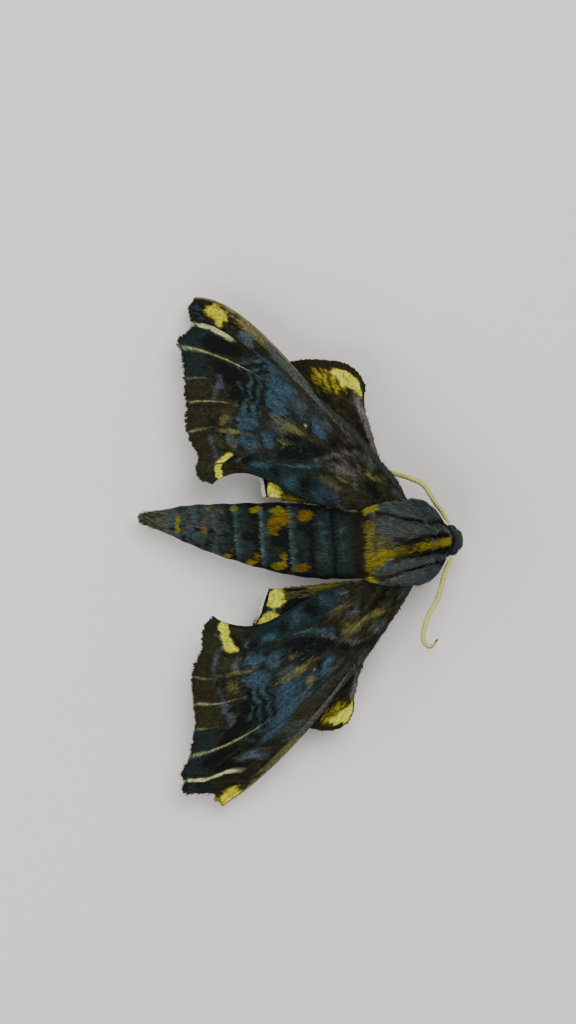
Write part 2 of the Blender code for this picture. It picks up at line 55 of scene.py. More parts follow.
# Body: distance along, middle across, height of the middle, half width, half height
BODY = (
    (-16.06, -0.08, 5.56, 0.2, 0.22), (-15.97, -0.08, 5.56, 0.44, 0.46),
    (-15.77, -0.08, 5.57, 0.72, 0.76), (-15.47, -0.08, 5.59, 0.96, 1.06),
    (-15.2, -0.08, 5.64, 1.13, 1.24), (-15.0, -0.08, 5.68, 1.26, 1.34),
    (-14.72, -0.06, 5.72, 1.4, 1.38), (-14.45, -0.04, 5.92, 1.5, 1.36), (-14.2, -0.02, 6.15, 1.76, 1.5),
    (-13.95, 0.0, 6.3, 2.22, 1.8), (-13.5, 0.0, 6.4, 2.94, 2.36), (-12.8, 0.0, 6.5, 3.58, 2.98),
    (-12.0, 0.0, 6.56, 3.98, 3.4), (-11.1, 0.0, 6.6, 4.12, 3.7), (-10.1, 0.0, 6.62, 4.16, 3.9),
    (-9.1, 0.0, 6.62, 4.12, 3.97), (-8.2, 0.0, 6.58, 4.0, 3.86), (-7.4, 0.0, 6.5, 3.82, 3.62),
    (-6.75, 0.0, 6.4, 3.6, 3.34), (-6.2, 0.02, 6.28, 3.4, 3.08), (-5.6, 0.05, 6.14, 3.28, 2.94),
    (-5.0, 0.1, 6.0, 3.28, 2.9), (-4.45, 0.2, 5.88, 3.34, 2.92), (-1.7, 0.64, 5.72, 3.64, 3.19),
    (1.1, 1.14, 5.48, 3.62, 3.17), (4.0, 1.66, 5.12, 3.28, 2.86), (6.6, 2.2, 4.72, 2.86, 2.49),
    (9.0, 2.72, 4.3, 2.43, 2.12), (10.9, 3.2, 3.92, 2.0, 1.74), (12.7, 3.62, 3.52, 1.45, 1.26),
    (13.9, 3.86, 3.22, 0.98, 0.85), (15.0, 4.08, 2.98, 0.58, 0.5), (15.8, 4.2, 2.86, 0.26, 0.24),
)
# Lines between the segments of the abdomen
SEGMENTS = (-4.25, -3.10, -1.35, 1.20, 4.10, 6.65, 9.05, 10.95, 12.75)
# The body's curves are read as far out as this, at this step, and evened over so many steps
PROFILE_END = 17.0
PROFILE_STEP = 0.02
PROFILE_SOFT = 17
# Ends of the skin, its cells around and along, and its place on the UV map
SKIN_FRONT = -16.08
SKIN_REAR = 16.05
SKIN_CELLS = (140, 280)
UV_FRONT = -16.2
UV_LENGTH = 33.0
# Left eye, measured from the head's middle
EYE = (1.20, -15.00, 5.24)
EYE_RADIUS = 0.50
EYE_FLATNESS = 0.76
HEAD_MIDDLE = -0.08
# Palps: distance along and height of the middle line, its radii, and its place beside the head's middle
PALP_PATH = ((-14.55, 4.62), (-14.88, 4.16), (-15.30, 3.98), (-15.68, 4.12), (-15.92, 4.44))
PALP_RADII = (0.30, 0.36, 0.40, 0.34, 0.12)
PALP_ASIDE = 0.53
SHOULDER_BULGE = 0.10
# Length of one ring of a feeler, and how many points its line and a leg's have
FEELER_RING = 0.26
FEELER_POINTS = 480
LEG_POINTS = 130
TUBE_SIDES = 16
# How far the hair stands out from a forewing's front edge near its root
SHOULDER_REACH = {"forewing_left": 0.75, "forewing_right": 0.15}

# Tufts placed at random on each part
HEAD_TUFTS = 5600
PALP_TUFTS = 560
LEG_TUFTS = 950
FRINGE_TUFTS = 2400
FORE_ROOT_TUFTS = 7100
HIND_ROOT_TUFTS = 1500
FLUFF_TUFTS = 900
SHOULDER_TUFTS = 1500
# A tuft: how far along its rings of three points are, their widths and their corners
TUFT_STEPS = (0.0, 0.45, 0.8)
TUFT_TAPERS = (0.85, 1.0, 0.6)
TUFT_RING = ((-0.5, 0.0), (0.5, 0.0), (0.0, 0.42))
# Painted shade along a tuft, darker at its root down in the coat and lighter at its tip: the brightness at
# its root, the gain along it and at its tip; then the range of random tone from tuft to tuft
ROOT_PAINTED_SHADE = 0.72
PAINTED_LIGHT_GAIN = 0.38
TIP_PAINTED_LIGHT = 1.18
TUFT_SHADES = (0.62, 1.38)
# Radius of a tuft's patch on the UV map
PATCH_REACH = 0.0014
# Cells of the wing sheets from vein to vein and outwards
FORE_CELLS = (190, 240)
HIND_CELLS = (140, 158)
# Name of the colour points that the materials read
COLOUR_LAYER = "marking"
UP = (0.0, 0.0, 1.0)

# Wing sheets, as the solids have them
HINGE_X = 4.4
WING_ROOT_HEIGHT = 6.25
WING_RISE = 0.085
WING_DROOP = 0.0105
WING_REAR_FALL = 0.035
HIND_DROP = 1.16
# Each vein: leaving angle, arriving angle and the curve's near and far reach
FORE_LEFT_VEINS = (
    (40, 92, 0.38, 0.2), (36, 80, 0.38, 0.22), (37, 70, 0.38, 0.25), (38, 72, 0.38, 0.28),
    (42, 84, 0.38, 0.3), (47, 90, 0.38, 0.3), (54, 102, 0.38, 0.3), (66, 104, 0.38, 0.3),
    (84, 116, 0.42, 0.34), (98, 124, 0.5, 0.4),
)
FORE_RIGHT_VEINS = (
    (36, 62, 0.38, 0.25), (38, 72, 0.38, 0.22), (39, 72, 0.38, 0.25), (41, 75, 0.38, 0.28),
    (45, 84, 0.38, 0.3), (50, 92, 0.38, 0.3), (57, 102, 0.38, 0.3), (68, 106, 0.38, 0.3),
    (84, 116, 0.42, 0.36), (98, 122, 0.5, 0.45),
)
HIND_LEFT_VEINS = (
    (-14, -16, 0.38, 0.4), (-5, 12, 0.34, 0.33), (5, 24, 0.33, 0.33), (18, 40, 0.33, 0.33),
    (28, 56, 0.33, 0.33), (38, 68, 0.33, 0.33), (48, 80, 0.33, 0.33), (60, 88, 0.33, 0.33),
    (78, 77, 0.38, 0.3),
)
HIND_RIGHT_VEINS = (
    (28, -1, 0.38, 0.3), (14, 22, 0.34, 0.33), (17, 34, 0.33, 0.33), (29, 50, 0.33, 0.33),
    (38, 66, 0.33, 0.33), (48, 78, 0.33, 0.33), (58, 90, 0.33, 0.33), (70, 98, 0.33, 0.33),
    (94, 98, 0.38, 0.3),
)
# Scalloped outer edge of each wing: vein number, distance out, distance along the body
FORE_LEFT_EDGE = (
    (0.0, 26.05, 9.15), (0.5, 25.35, 9.4), (1.0, 24.55, 9.45), (1.5, 23.75, 9.35), (2.0, 23.05, 9.12),
    (2.14, 22.75, 9.65), (2.5, 22.05, 10.6), (2.86, 21.45, 11.02), (3.0, 20.85, 10.62),
    (3.5, 19.3, 10.55), (4.0, 17.7, 10.42), (4.5, 16.55, 10.5), (5.0, 15.4, 10.38), (5.5, 13.8, 10.65),
    (5.86, 12.75, 10.6), (6.0, 12.25, 10.42), (6.5, 11.1, 10.02), (7.0, 9.9, 9.45), (7.14, 9.55, 9.6),
    (7.5, 8.95, 9.88), (8.0, 8.1, 9.65), (8.5, 7.6, 9.1), (9.0, 7.3, 8.5),
)
FORE_RIGHT_EDGE = (
    (0.0, 25.2, 9.9), (0.5, 24.45, 10.25), (1.0, 23.78, 10.65), (1.14, 23.62, 12.95),
    (1.5, 23.25, 13.6), (1.86, 22.5, 13.45), (2.0, 22.2, 13.25), (2.14, 21.8, 13.62),
    (2.5, 21.1, 13.28), (3.0, 19.7, 12.48), (3.5, 18.35, 12.22), (4.0, 17.05, 11.9),
    (4.5, 15.75, 11.82), (5.0, 14.55, 11.68), (5.5, 13.2, 11.88), (6.0, 11.7, 11.74),
    (6.5, 10.6, 11.25), (7.0, 9.4, 10.62), (7.5, 8.3, 10.44), (8.0, 7.25, 10.26), (8.5, 6.65, 9.85),
    (9.0, 6.15, 9.3),
)
HIND_LEFT_EDGE = (
    (0.0, 15.5, -7.38), (0.14, 16.2, -7.28), (0.5, 17.35, -6.7), (0.86, 18.15, -5.85),
    (1.0, 18.45, -5.35), (1.5, 18.85, -3.5), (2.0, 19.05, -1.6), (2.5, 18.85, 0.5), (3.0, 18.1, 2.4),
    (3.5, 17.0, 3.9), (4.0, 15.5, 4.9), (4.5, 14.1, 5.32), (5.0, 12.6, 5.4), (5.5, 11.25, 5.22),
    (6.0, 9.8, 4.7), (6.5, 8.95, 4.2), (7.0, 8.12, 3.6), (7.5, 6.75, 3.42), (8.0, 5.58, 3.32),
)
HIND_RIGHT_EDGE = (
    (0.0, 15.6, -4.05), (0.14, 16.5, -3.9), (0.5, 17.5, -3.35), (0.86, 18.1, -2.5), (1.0, 18.25, -2.0),
    (1.5, 18.2, -0.5), (2.0, 17.9, 0.5), (2.5, 17.35, 2.35), (3.0, 16.4, 4.2), (3.5, 15.05, 5.5),
    (4.0, 13.3, 6.4), (4.5, 11.8, 6.62), (5.0, 10.3, 6.5), (5.5, 9.0, 6.22), (6.0, 7.65, 5.75),
    (6.5, 6.9, 5.2), (7.0, 6.0, 4.6), (7.5, 4.8, 4.18), (8.0, 3.65, 3.68),
)
FORE_ROOT = ((4.30, -10.70), (3.85, -6.90))
HIND_ROOT = ((4.30, -8.30), (3.75, -6.50))
WINGS = {
    "forewing_left": (1.0, FORE_LEFT_VEINS, FORE_LEFT_EDGE, FORE_ROOT, 0.0),
    "forewing_right": (-1.0, FORE_RIGHT_VEINS, FORE_RIGHT_EDGE, FORE_ROOT, 0.0),
    "hindwing_left": (1.0, HIND_LEFT_VEINS, HIND_LEFT_EDGE, HIND_ROOT, HIND_DROP),
    "hindwing_right": (-1.0, HIND_RIGHT_VEINS, HIND_RIGHT_EDGE, HIND_ROOT, HIND_DROP),
}

ANTENNA_LEFT = (
    (1.65, -14.8, 6.37, 0.25), (2.2, -14.5, 6.45, 0.25), (2.91, -14.17, 6.42, 0.25),
    (3.43, -13.81, 6.36, 0.26), (4.0, -13.47, 6.28, 0.27), (4.78, -13.08, 6.1, 0.28),
    (5.42, -12.74, 5.88, 0.28), (5.95, -12.18, 5.58, 0.28), (6.32, -11.48, 5.2, 0.28),
    (6.7, -10.6, 4.75, 0.27), (7.02, -9.6, 4.3, 0.27), (7.4, -8.35, 3.9, 0.26), (7.8, -7.2, 3.65, 0.25),
    (8.25, -6.65, 3.55, 0.2), (8.7, -6.75, 3.55, 0.12),
)
ANTENNA_RIGHT = (
    (-1.81, -14.8, 6.37, 0.25), (-2.28, -14.54, 6.45, 0.25), (-2.87, -14.26, 6.42, 0.25),
    (-3.45, -13.98, 6.36, 0.26), (-4.2, -13.76, 6.28, 0.27), (-5.17, -13.43, 6.1, 0.28),
    (-5.95, -13.14, 5.98, 0.28), (-6.8, -12.54, 5.88, 0.28), (-7.68, -12.03, 5.75, 0.28),
    (-8.65, -11.66, 5.6, 0.27), (-9.44, -11.47, 5.46, 0.26), (-10.02, -11.54, 5.4, 0.24),
    (-10.45, -11.82, 5.36, 0.2), (-10.5, -12.18, 5.34, 0.17), (-10.22, -12.54, 5.34, 0.14),
    (-9.86, -12.88, 5.34, 0.12),
)
# Legs, left side, from the body to the toe: point and radius
LEGS = {
    "front": (
        (1.8, -12.1, 3.9, 0.46), (2.3, -12.3, 3.2, 0.52), (2.9, -12.55, 2.75, 0.48),
        (3.55, -12.35, 2.05, 0.36), (3.3, -11.85, 1.05, 0.24), (3.0, -12.05, 0.52, 0.22),
        (2.8, -12.6, 0.24, 0.2), (2.62, -13.25, 0.2, 0.17), (2.56, -13.5, 0.17, 0.12),
    ),
    "middle": (
        (2.3, -9.7, 3.7, 0.5), (2.9, -9.6, 3.4, 0.58), (4.1, -9.3, 3.35, 0.54), (5.9, -8.6, 3.3, 0.4),
        (6.6, -7.3, 1.9, 0.28), (7.2, -6.3, 0.66, 0.24), (7.75, -5.5, 0.24, 0.2),
        (8.6, -4.4, 0.2, 0.17), (8.78, -4.18, 0.17, 0.12),
    ),
    "hind": (
        (2.2, -7.6, 3.8, 0.5), (2.8, -7.2, 3.45, 0.58), (3.9, -6.2, 3.35, 0.56),
        (5.5, -4.7, 3.25, 0.42), (6.15, -2.7, 1.9, 0.28), (6.6, -1.0, 0.66, 0.24),
        (6.9, 0.15, 0.24, 0.2), (7.25, 2.1, 0.2, 0.17), (7.3, 2.38, 0.17, 0.12),
    ),
}
RIGHT_SWAY = {"front": -0.15, "middle": 0.25, "hind": 0.35}

# Camera: height of the plane in focus, distance from it, and the length of it in view
VIEW_LEVEL = 6.0
VIEW_DISTANCE = 600.0
VIEW_HEIGHT = 102.4


def paint(red, green, blue):
    """Linear colour of a paint chip given as 0 to 255."""
    chip = np.array((red, green, blue), float) / 255.0
    return tuple(np.where(chip <= 0.04045, chip / 12.92, ((chip + 0.055) / 1.055) ** 2.4))


CHIPS = {
    "slate_fur": ("Slate fur", (69, 78, 75)),
    "black": ("Black scales", (7, 8, 7)),
    "brown": ("Brown scales", (38, 34, 15)),
    "olive": ("Olive scales", (44, 46, 24)),
    "tan": ("Tan costal strip", (112, 104, 72)),
    "gold": ("Golden stripe", (122, 112, 22)),
    "ochre": ("Ochre spots", (108, 84, 8)),
    "khaki": ("Khaki tuft", (90, 88, 48)),
    "lemon": ("Lemon patches", (190, 188, 56)),
    "apex_yellow": ("Wing tip yellow", (180, 168, 40)),
    "cream": ("Cream vein streaks", (156, 162, 116)),
    "slate_blue": ("Slate blue scales", (44, 62, 72)),
    "teal": ("Teal lines", (42, 70, 77)),
    "dark_teal": ("Dark teal ground", (18, 33, 33)),
    "lilac": ("Lilac grey hair", (80, 77, 74)),
    "violet": ("Violet grey crescents", (62, 68, 76)),
    "grey": ("Blue grey costal patch", (60, 66, 62)),
    "abdomen_slate": ("Abdomen scales", (26, 40, 38)),
    "fringe": ("Pale segment fringe", (70, 94, 92)),
    "tail": ("Tail hair", (84, 90, 68)),
    "white": ("White fringe", (196, 194, 176)),
    "rust": ("Underside rust", (104, 70, 38)),
    "underside": ("Underside brown", (86, 66, 44)),
    "leg_brown": ("Leg hair", (68, 54, 38)),
    "lime": ("Feeler lime", (222, 223, 132)),
    "eye": ("Eye", (12, 9, 8)),
    "floor": ("Floor", (240, 237, 232)),
}


def colour_property(key):
    label, chip = CHIPS[key]
    return bpy.props.FloatVectorProperty(
        name=label,
        description=f"Colour of the {label.lower()}",
        subtype="COLOR",
        size=3,
        min=0.0,
        max=1.0,
        default=paint(*chip),
    )


def length_property(label, description, default_mm):
    return bpy.props.FloatProperty(
        name=label,
        description=description,
        default=default_mm * MM,
        min=0.0,
        soft_max=0.02,
        unit="LENGTH",
        precision=5,
    )


class MothColours(bpy.types.PropertyGroup):
    __annotations__ = {key: colour_property(key) for key in CHIPS}


class MothSizes(bpy.types.PropertyGroup):
    thorax_hair: length_property("Thorax hair", "Length of the hair on the thorax", 1.05)
    abdomen_hair: length_property("Abdomen scales", "Length of the scales on the abdomen", 0.55)
    head_hair: length_property("Head hair", "Length of the hair on the head", 0.32)
    hair_width: length_property("Hair width", "Width of one tuft of hair", 0.105)
    wing_thickness: length_property("Wing thickness", "Thickness of the wing membrane", 0.24)
    vein_height: length_property("Vein height", "Height of the veins over the membrane", 0.09)
    fringe: length_property("Fringe", "Length of the fringe at the wing edge", 0.55)
    thorax_tufts: bpy.props.IntProperty(
        name="Thorax tufts", description="Tufts on the thorax", default=19000, min=100
    )
    abdomen_tufts: bpy.props.IntProperty(
        name="Abdomen tufts", description="Tufts on the abdomen", default=20000, min=100
    )


def colours():
    """Colour chips by name, as arrays."""
    group = bpy.context.scene.moth_colours
    return {key: np.array(getattr(group, key)[:3]) for key in CHIPS}


def sizes(name):
    """A length of the sizes group, in millimetres."""
    return getattr(bpy.context.scene.moth_sizes, name) / MM


# Small helpers for arrays


def smooth(low, high, value):
    step = np.clip((value - low) / (high - low), 0.0, 1.0)
    return step * step * (3.0 - 2.0 * step)


def noise(u, v, seed):
    """Smooth random field from -1 to 1 with features one unit across."""
    table = np.random.default_rng(seed).uniform(-1.0, 1.0, (128, 128))
    column = np.floor(u).astype(int)
    row = np.floor(v).astype(int)
    across = u - column
    down = v - row
    across = across * across * (3.0 - 2.0 * across)
    down = down * down * (3.0 - 2.0 * down)
    column = column % 127
    row = row % 127
    top = table[row, column] * (1.0 - across) + table[row, column + 1] * across
    low = table[row + 1, column] * (1.0 - across) + table[row + 1, column + 1] * across
    return top * (1.0 - down) + low * down


def mottle(u, v, seed):
    return 0.6 * noise(u, v, seed) + 0.4 * noise(u * 2.3 + 7.1, v * 2.3 + 3.7, seed + 1)


def lay(ground, chip, amount):
    """Paints a colour over a ground, point by point."""
    amount = np.clip(amount, 0.0, 1.0)[..., None]
    return ground * (1.0 - amount) + chip * amount


def scatter(ground, chip, amount, grain, soft=0.18):
    """Paints a colour scale by scale: a partial amount gives a mix of painted and bare flecks."""
    spread = 0.25 + 1.5 * soft
    level = np.clip(amount, 0.0, 1.0) * (1.0 + 2.0 * spread) - spread
    return lay(ground, chip, smooth(-spread, spread, level - 0.5 - 0.5 * grain))


def flecks(u, v, seed, contrast=1.6):
    """Random field from -1 to 1 with most of it near the two ends."""
    return np.clip(contrast * mottle(u, v, seed), -1.0, 1.0)


def peak(away, width):
    """Closeness to a line, 1 on it and fading over its width."""
    return np.exp(-((away / width) ** 2))


def oval(u, v, centre_u, centre_v, half_u, half_v):
    """Distance from the middle of an oval, 1 on its rim."""
    return np.sqrt(((u - centre_u) / half_u) ** 2 + ((v - centre_v) / half_v) ** 2)


def columns(*parts):
    """Rows of numbers from one array or number for each column."""
    return np.stack(np.broadcast_arrays(*parts), axis=1)


def unit(vectors):
    return vectors / np.maximum(np.linalg.norm(vectors, axis=1), 1e-12)[:, None]


def line_through(places, table):
    """Value of a table of (place, value) rows at each place."""
    rows = np.array(table, float)
    return np.interp(places, rows[:, 0], rows[:, 1])


def deselect():
    bpy.ops.object.select_all(action="DESELECT")


def face_out():
    """Turns the faces of the piece in hand outwards."""
    bpy.ops.object.mode_set(mode="EDIT")
    bpy.ops.mesh.select_all(action="SELECT")
    bpy.ops.mesh.normals_make_consistent(inside=False)
    bpy.ops.object.mode_set(mode="OBJECT")


def new_ball(segments, rings):
    """A ball, with each point's share of the way from pole to pole and its turn about them."""
    deselect()
    bpy.ops.mesh.primitive_uv_sphere_add(segments=segments, ring_count=rings, radius=1.0)
    obj = bpy.context.object
    start = get_points(obj.data)
    share = np.arccos(np.clip(start[:, 2], -1.0, 1.0)) / np.pi
    return obj, share, np.arctan2(start[:, 1], start[:, 0])


def finish_piece(obj, name, material, nodes=()):
    """Names a finished piece, gives it its material and ties it to the frame."""
    obj.name = name
    obj.data.name = name
    obj.data.materials.clear()
    obj.data.materials.append(material)
    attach(obj, "root")
    if nodes:
        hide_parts(*nodes)


def set_points(mesh, points):
    mesh.vertices.foreach_set("co", np.asarray(points, np.float32).ravel() * np.float32(MM))
    mesh.update()


def get_points(mesh):
    flat = np.empty(len(mesh.vertices) * 3, np.float32)
    mesh.vertices.foreach_get("co", flat)
    return flat.reshape(-1, 3).astype(float)


def set_colour(mesh, shades):
    """Stores one colour a point, for the material to read."""
    layer = mesh.color_attributes.new(COLOUR_LAYER, "FLOAT_COLOR", "POINT")
    rgba = np.ones((len(shades), 4), np.float32)
    rgba[:, :3] = shades
    layer.data.foreach_set("color", rgba.ravel())


def mesh_piece(name, points, faces, uv):
    """Mesh from arrays of points and faces, with a place on the UV map for each point."""
    mesh = bpy.data.meshes.new(name)
    mesh.from_pydata((points * MM).tolist(), [], faces)
    mesh.update()
    loops = np.empty(len(mesh.loops), np.int32)
    mesh.loops.foreach_get("vertex_index", loops)
    layer = mesh.uv_layers.new(name="OFBake")
    layer.data.foreach_set("uv", uv[loops].astype(np.float32).ravel())
    obj = bpy.data.objects.new(name, mesh)
    bpy.context.scene.collection.objects.link(obj)
    return obj


# Materials


def new_material(name):
    material = bpy.data.materials.new(name)
    material.use_nodes = True
    tree = material.node_tree
    shader = tree.nodes["Principled BSDF"]
    return material, tree, shader


def node(tree, kind, **values):
    made = tree.nodes.new(kind)
    for key, value in values.items():
        setattr(made, key, value)
    return made


def scaled_coordinates(tree, scale):
    coordinates = node(tree, "ShaderNodeTexCoord")
    mapping = node(tree, "ShaderNodeMapping")
    mapping.inputs["Scale"].default_value = scale
    tree.links.new(coordinates.outputs["Object"], mapping.inputs["Vector"])
    return mapping.outputs["Vector"]


def scale_material(name, roughness, grain, grain_scale, sheen=0.04, gloss=0.1, bump=0.35, height=0.00006):
    """Marked scales or hair: the piece's own colour points, broken by grain, with bump."""
    material, tree, shader = new_material(name)
    marking = node(tree, "ShaderNodeAttribute", attribute_name=COLOUR_LAYER)
    fine = node(tree, "ShaderNodeTexNoise")
    fine.inputs["Scale"].default_value = 1.0
    fine.inputs["Detail"].default_value = 3.0
    tree.links.new(scaled_coordinates(tree, grain_scale), fine.inputs["Vector"])
    spread = node(tree, "ShaderNodeMapRange")
    spread.inputs["From Min"].default_value = 0.3
    spread.inputs["From Max"].default_value = 0.7
    spread.inputs["To Min"].default_value = 1.0 - grain
    spread.inputs["To Max"].default_value = 1.0 + grain
    tree.links.new(fine.outputs["Fac"], spread.inputs["Value"])
    tint = node(tree, "ShaderNodeVectorMath", operation="SCALE")
    tree.links.new(marking.outputs["Color"], tint.inputs[0])
    tree.links.new(spread.outputs["Result"], tint.inputs["Scale"])
    tree.links.new(tint.outputs["Vector"], shader.inputs["Base Color"])
    relief = node(tree, "ShaderNodeBump")
    relief.inputs["Strength"].default_value = bump
    relief.inputs["Distance"].default_value = height
    tree.links.new(fine.outputs["Fac"], relief.inputs["Height"])
    tree.links.new(relief.outputs["Normal"], shader.inputs["Normal"])
    shader.inputs["Roughness"].default_value = roughness
    shader.inputs["Specular IOR Level"].default_value = gloss
    shader.inputs["Sheen Weight"].default_value = sheen
    shader.inputs["Sheen Roughness"].default_value = 0.4
    return material


# Body form


def body_profile(along):
    """Middle across, height, half width and half height of the body at each distance."""
    rows = np.array(BODY)
    grid = np.arange(-PROFILE_END, PROFILE_END, PROFILE_STEP)
    kernel = np.ones(PROFILE_SOFT) / PROFILE_SOFT
    margin = PROFILE_SOFT - 1
    values = []
    for column in range(1, 5):
        raw = np.interp(grid, rows[:, 0], rows[:, column])
        padded = np.pad(raw, margin, mode="edge")
        soft = np.convolve(np.convolve(padded, kernel, "same"), kernel, "same")[margin:-margin]
        values.append(np.interp(along, grid, soft))
    return values


# Stripe, grooves and rear triangle of the thorax from above: distance along, place across
STRIPE = ((-15.0, -0.15), (-14.0, -0.22), (-13.0, -0.34), (-12.0, -0.4), (-11.0, -0.5), (-9.0, -0.62))
GROOVE_INNER_LEFT = (
    (-14.6, 0.35), (-14.0, 0.5), (-13.0, 0.42), (-12.0, 0.3), (-11.0, 0.18), (-10.0, 0.25), (-9.2, 0.4),
)
GROOVE_INNER_RIGHT = (
    (-14.6, -0.75), (-14.0, -0.98), (-13.0, -1.05), (-12.0, -1.05), (-11.0, -1.15), (-10.0, -1.35),
    (-9.2, -1.5),
)
GROOVE_OUTER_LEFT = (
    (-14.3, 1.45), (-13.0, 1.7), (-12.0, 1.9), (-10.5, 2.2), (-9.9, 2.5), (-9.0, 2.9), (-7.6, 3.15),
)
GROOVE_OUTER_RIGHT = (
    (-14.2, -2.05), (-13.0, -2.12), (-12.0, -2.28), (-11.0, -2.55), (-10.0, -2.8), (-9.0, -3.1),
    (-7.4, -3.45),
)
TRIANGLE_LEFT = (
    (-9.3, -0.35), (-9.0, 0.0), (-8.4, 0.75), (-7.8, 1.4), (-7.3, 2.4), (-6.5, 2.65), (-6.0, 2.3),
)
TRIANGLE_RIGHT = (
    (-9.3, -0.9), (-9.0, -1.2), (-8.2, -1.85), (-7.4, -2.55), (-6.9, -2.8), (-6.2, -2.7), (-5.9, -2.2),
)


def ridge_line(x, y, table, width, first, last):
    """Closeness, from 0 to 1, to a line seen from above, over a stretch of the body."""
    away = np.abs(x - line_through(y, table)) / width
    reach = smooth(first, first + 0.4, y) * (1.0 - smooth(last - 0.6, last, y))
    return np.exp(-away * away) * reach


def segment_phase(y):
    """Share of the way from one segment line of the abdomen to the next."""
    lines = np.array(SEGMENTS)
    index = np.clip(np.searchsorted(lines, y) - 1, 0, len(lines) - 2)
    return np.clip((y - lines[index]) / (lines[index + 1] - lines[index]), 0.0, 1.0)


def body_surface(y, angle):
    """Points of the skin at a distance along the body and an angle from the left side."""
    middle, height, wide, high = body_profile(y)
    turn = np.cos(angle)
    lift = np.sin(angle)
    mirrored = np.degrees(np.arctan2(lift, np.abs(turn)))
    on_thorax = smooth(-14.1, -12.6, y) * (1.0 - smooth(-7.8, -6.4, y))
    swell = 1.0 + SHOULDER_BULGE * on_thorax * np.clip(
        0.5 + 0.5 * np.cos(np.pi * np.clip((mirrored - 31.0) / 24.0, -1.0, 1.0)), 0.0, 1.0
    )
    x = middle + wide * turn * swell
    z = height + high * lift * swell
    top = smooth(0.1, 0.5, lift)
    cut = 0.26 * ridge_line(x, y, GROOVE_OUTER_LEFT, 0.24, -14.3, -7.3)
    cut += 0.26 * ridge_line(x, y, GROOVE_OUTER_RIGHT, 0.24, -14.2, -7.2)
    cut += 0.20 * ridge_line(x, y, GROOVE_INNER_LEFT, 0.22, -14.6, -9.0)
    cut += 0.20 * ridge_line(x, y, GROOVE_INNER_RIGHT, 0.22, -14.6, -9.0)
    cut -= 0.10 * ridge_line(x, y, STRIPE, 0.30, -14.9, -8.8)
    z = z - cut * top
    phase = segment_phase(y)
    on_abdomen = smooth(-4.6, -4.0, y) * (1.0 - smooth(12.4, 13.0, y))
    step = on_abdomen * (0.085 * np.sin(np.pi * np.clip(phase * 1.06, 0, 1)) ** 0.8 - 0.05)
    step -= on_abdomen * 0.07 * (1.0 - smooth(0.0, 0.07, phase))
    x = x + step * turn
    z = z + step * lift
    eye_away = np.sqrt(
        ((np.abs(x - HEAD_MIDDLE) - EYE[0]) / 0.85) ** 2
        + ((y - EYE[1]) / 0.72) ** 2
        + ((z - EYE[2]) / 0.72) ** 2
    )
    socket = 1.0 - 0.52 * (1.0 - smooth(0.55, 1.05, eye_away))
    x = HEAD_MIDDLE + (x - HEAD_MIDDLE) * np.where(y < -14.2, socket, 1.0)
    return columns(x, y, z)


def body_normals(y, angle, gap=0.03):
    along = body_surface(y + gap, angle) - body_surface(y - gap, angle)
    around = body_surface(y, angle + gap) - body_surface(y, angle - gap)
    return unit(np.cross(along, around)) * -1.0


def hair_grain(x, y, seed):
    """Flecks drawn out along the lie of the hair."""
    return flecks(x * 6.5, y * 1.7, seed)


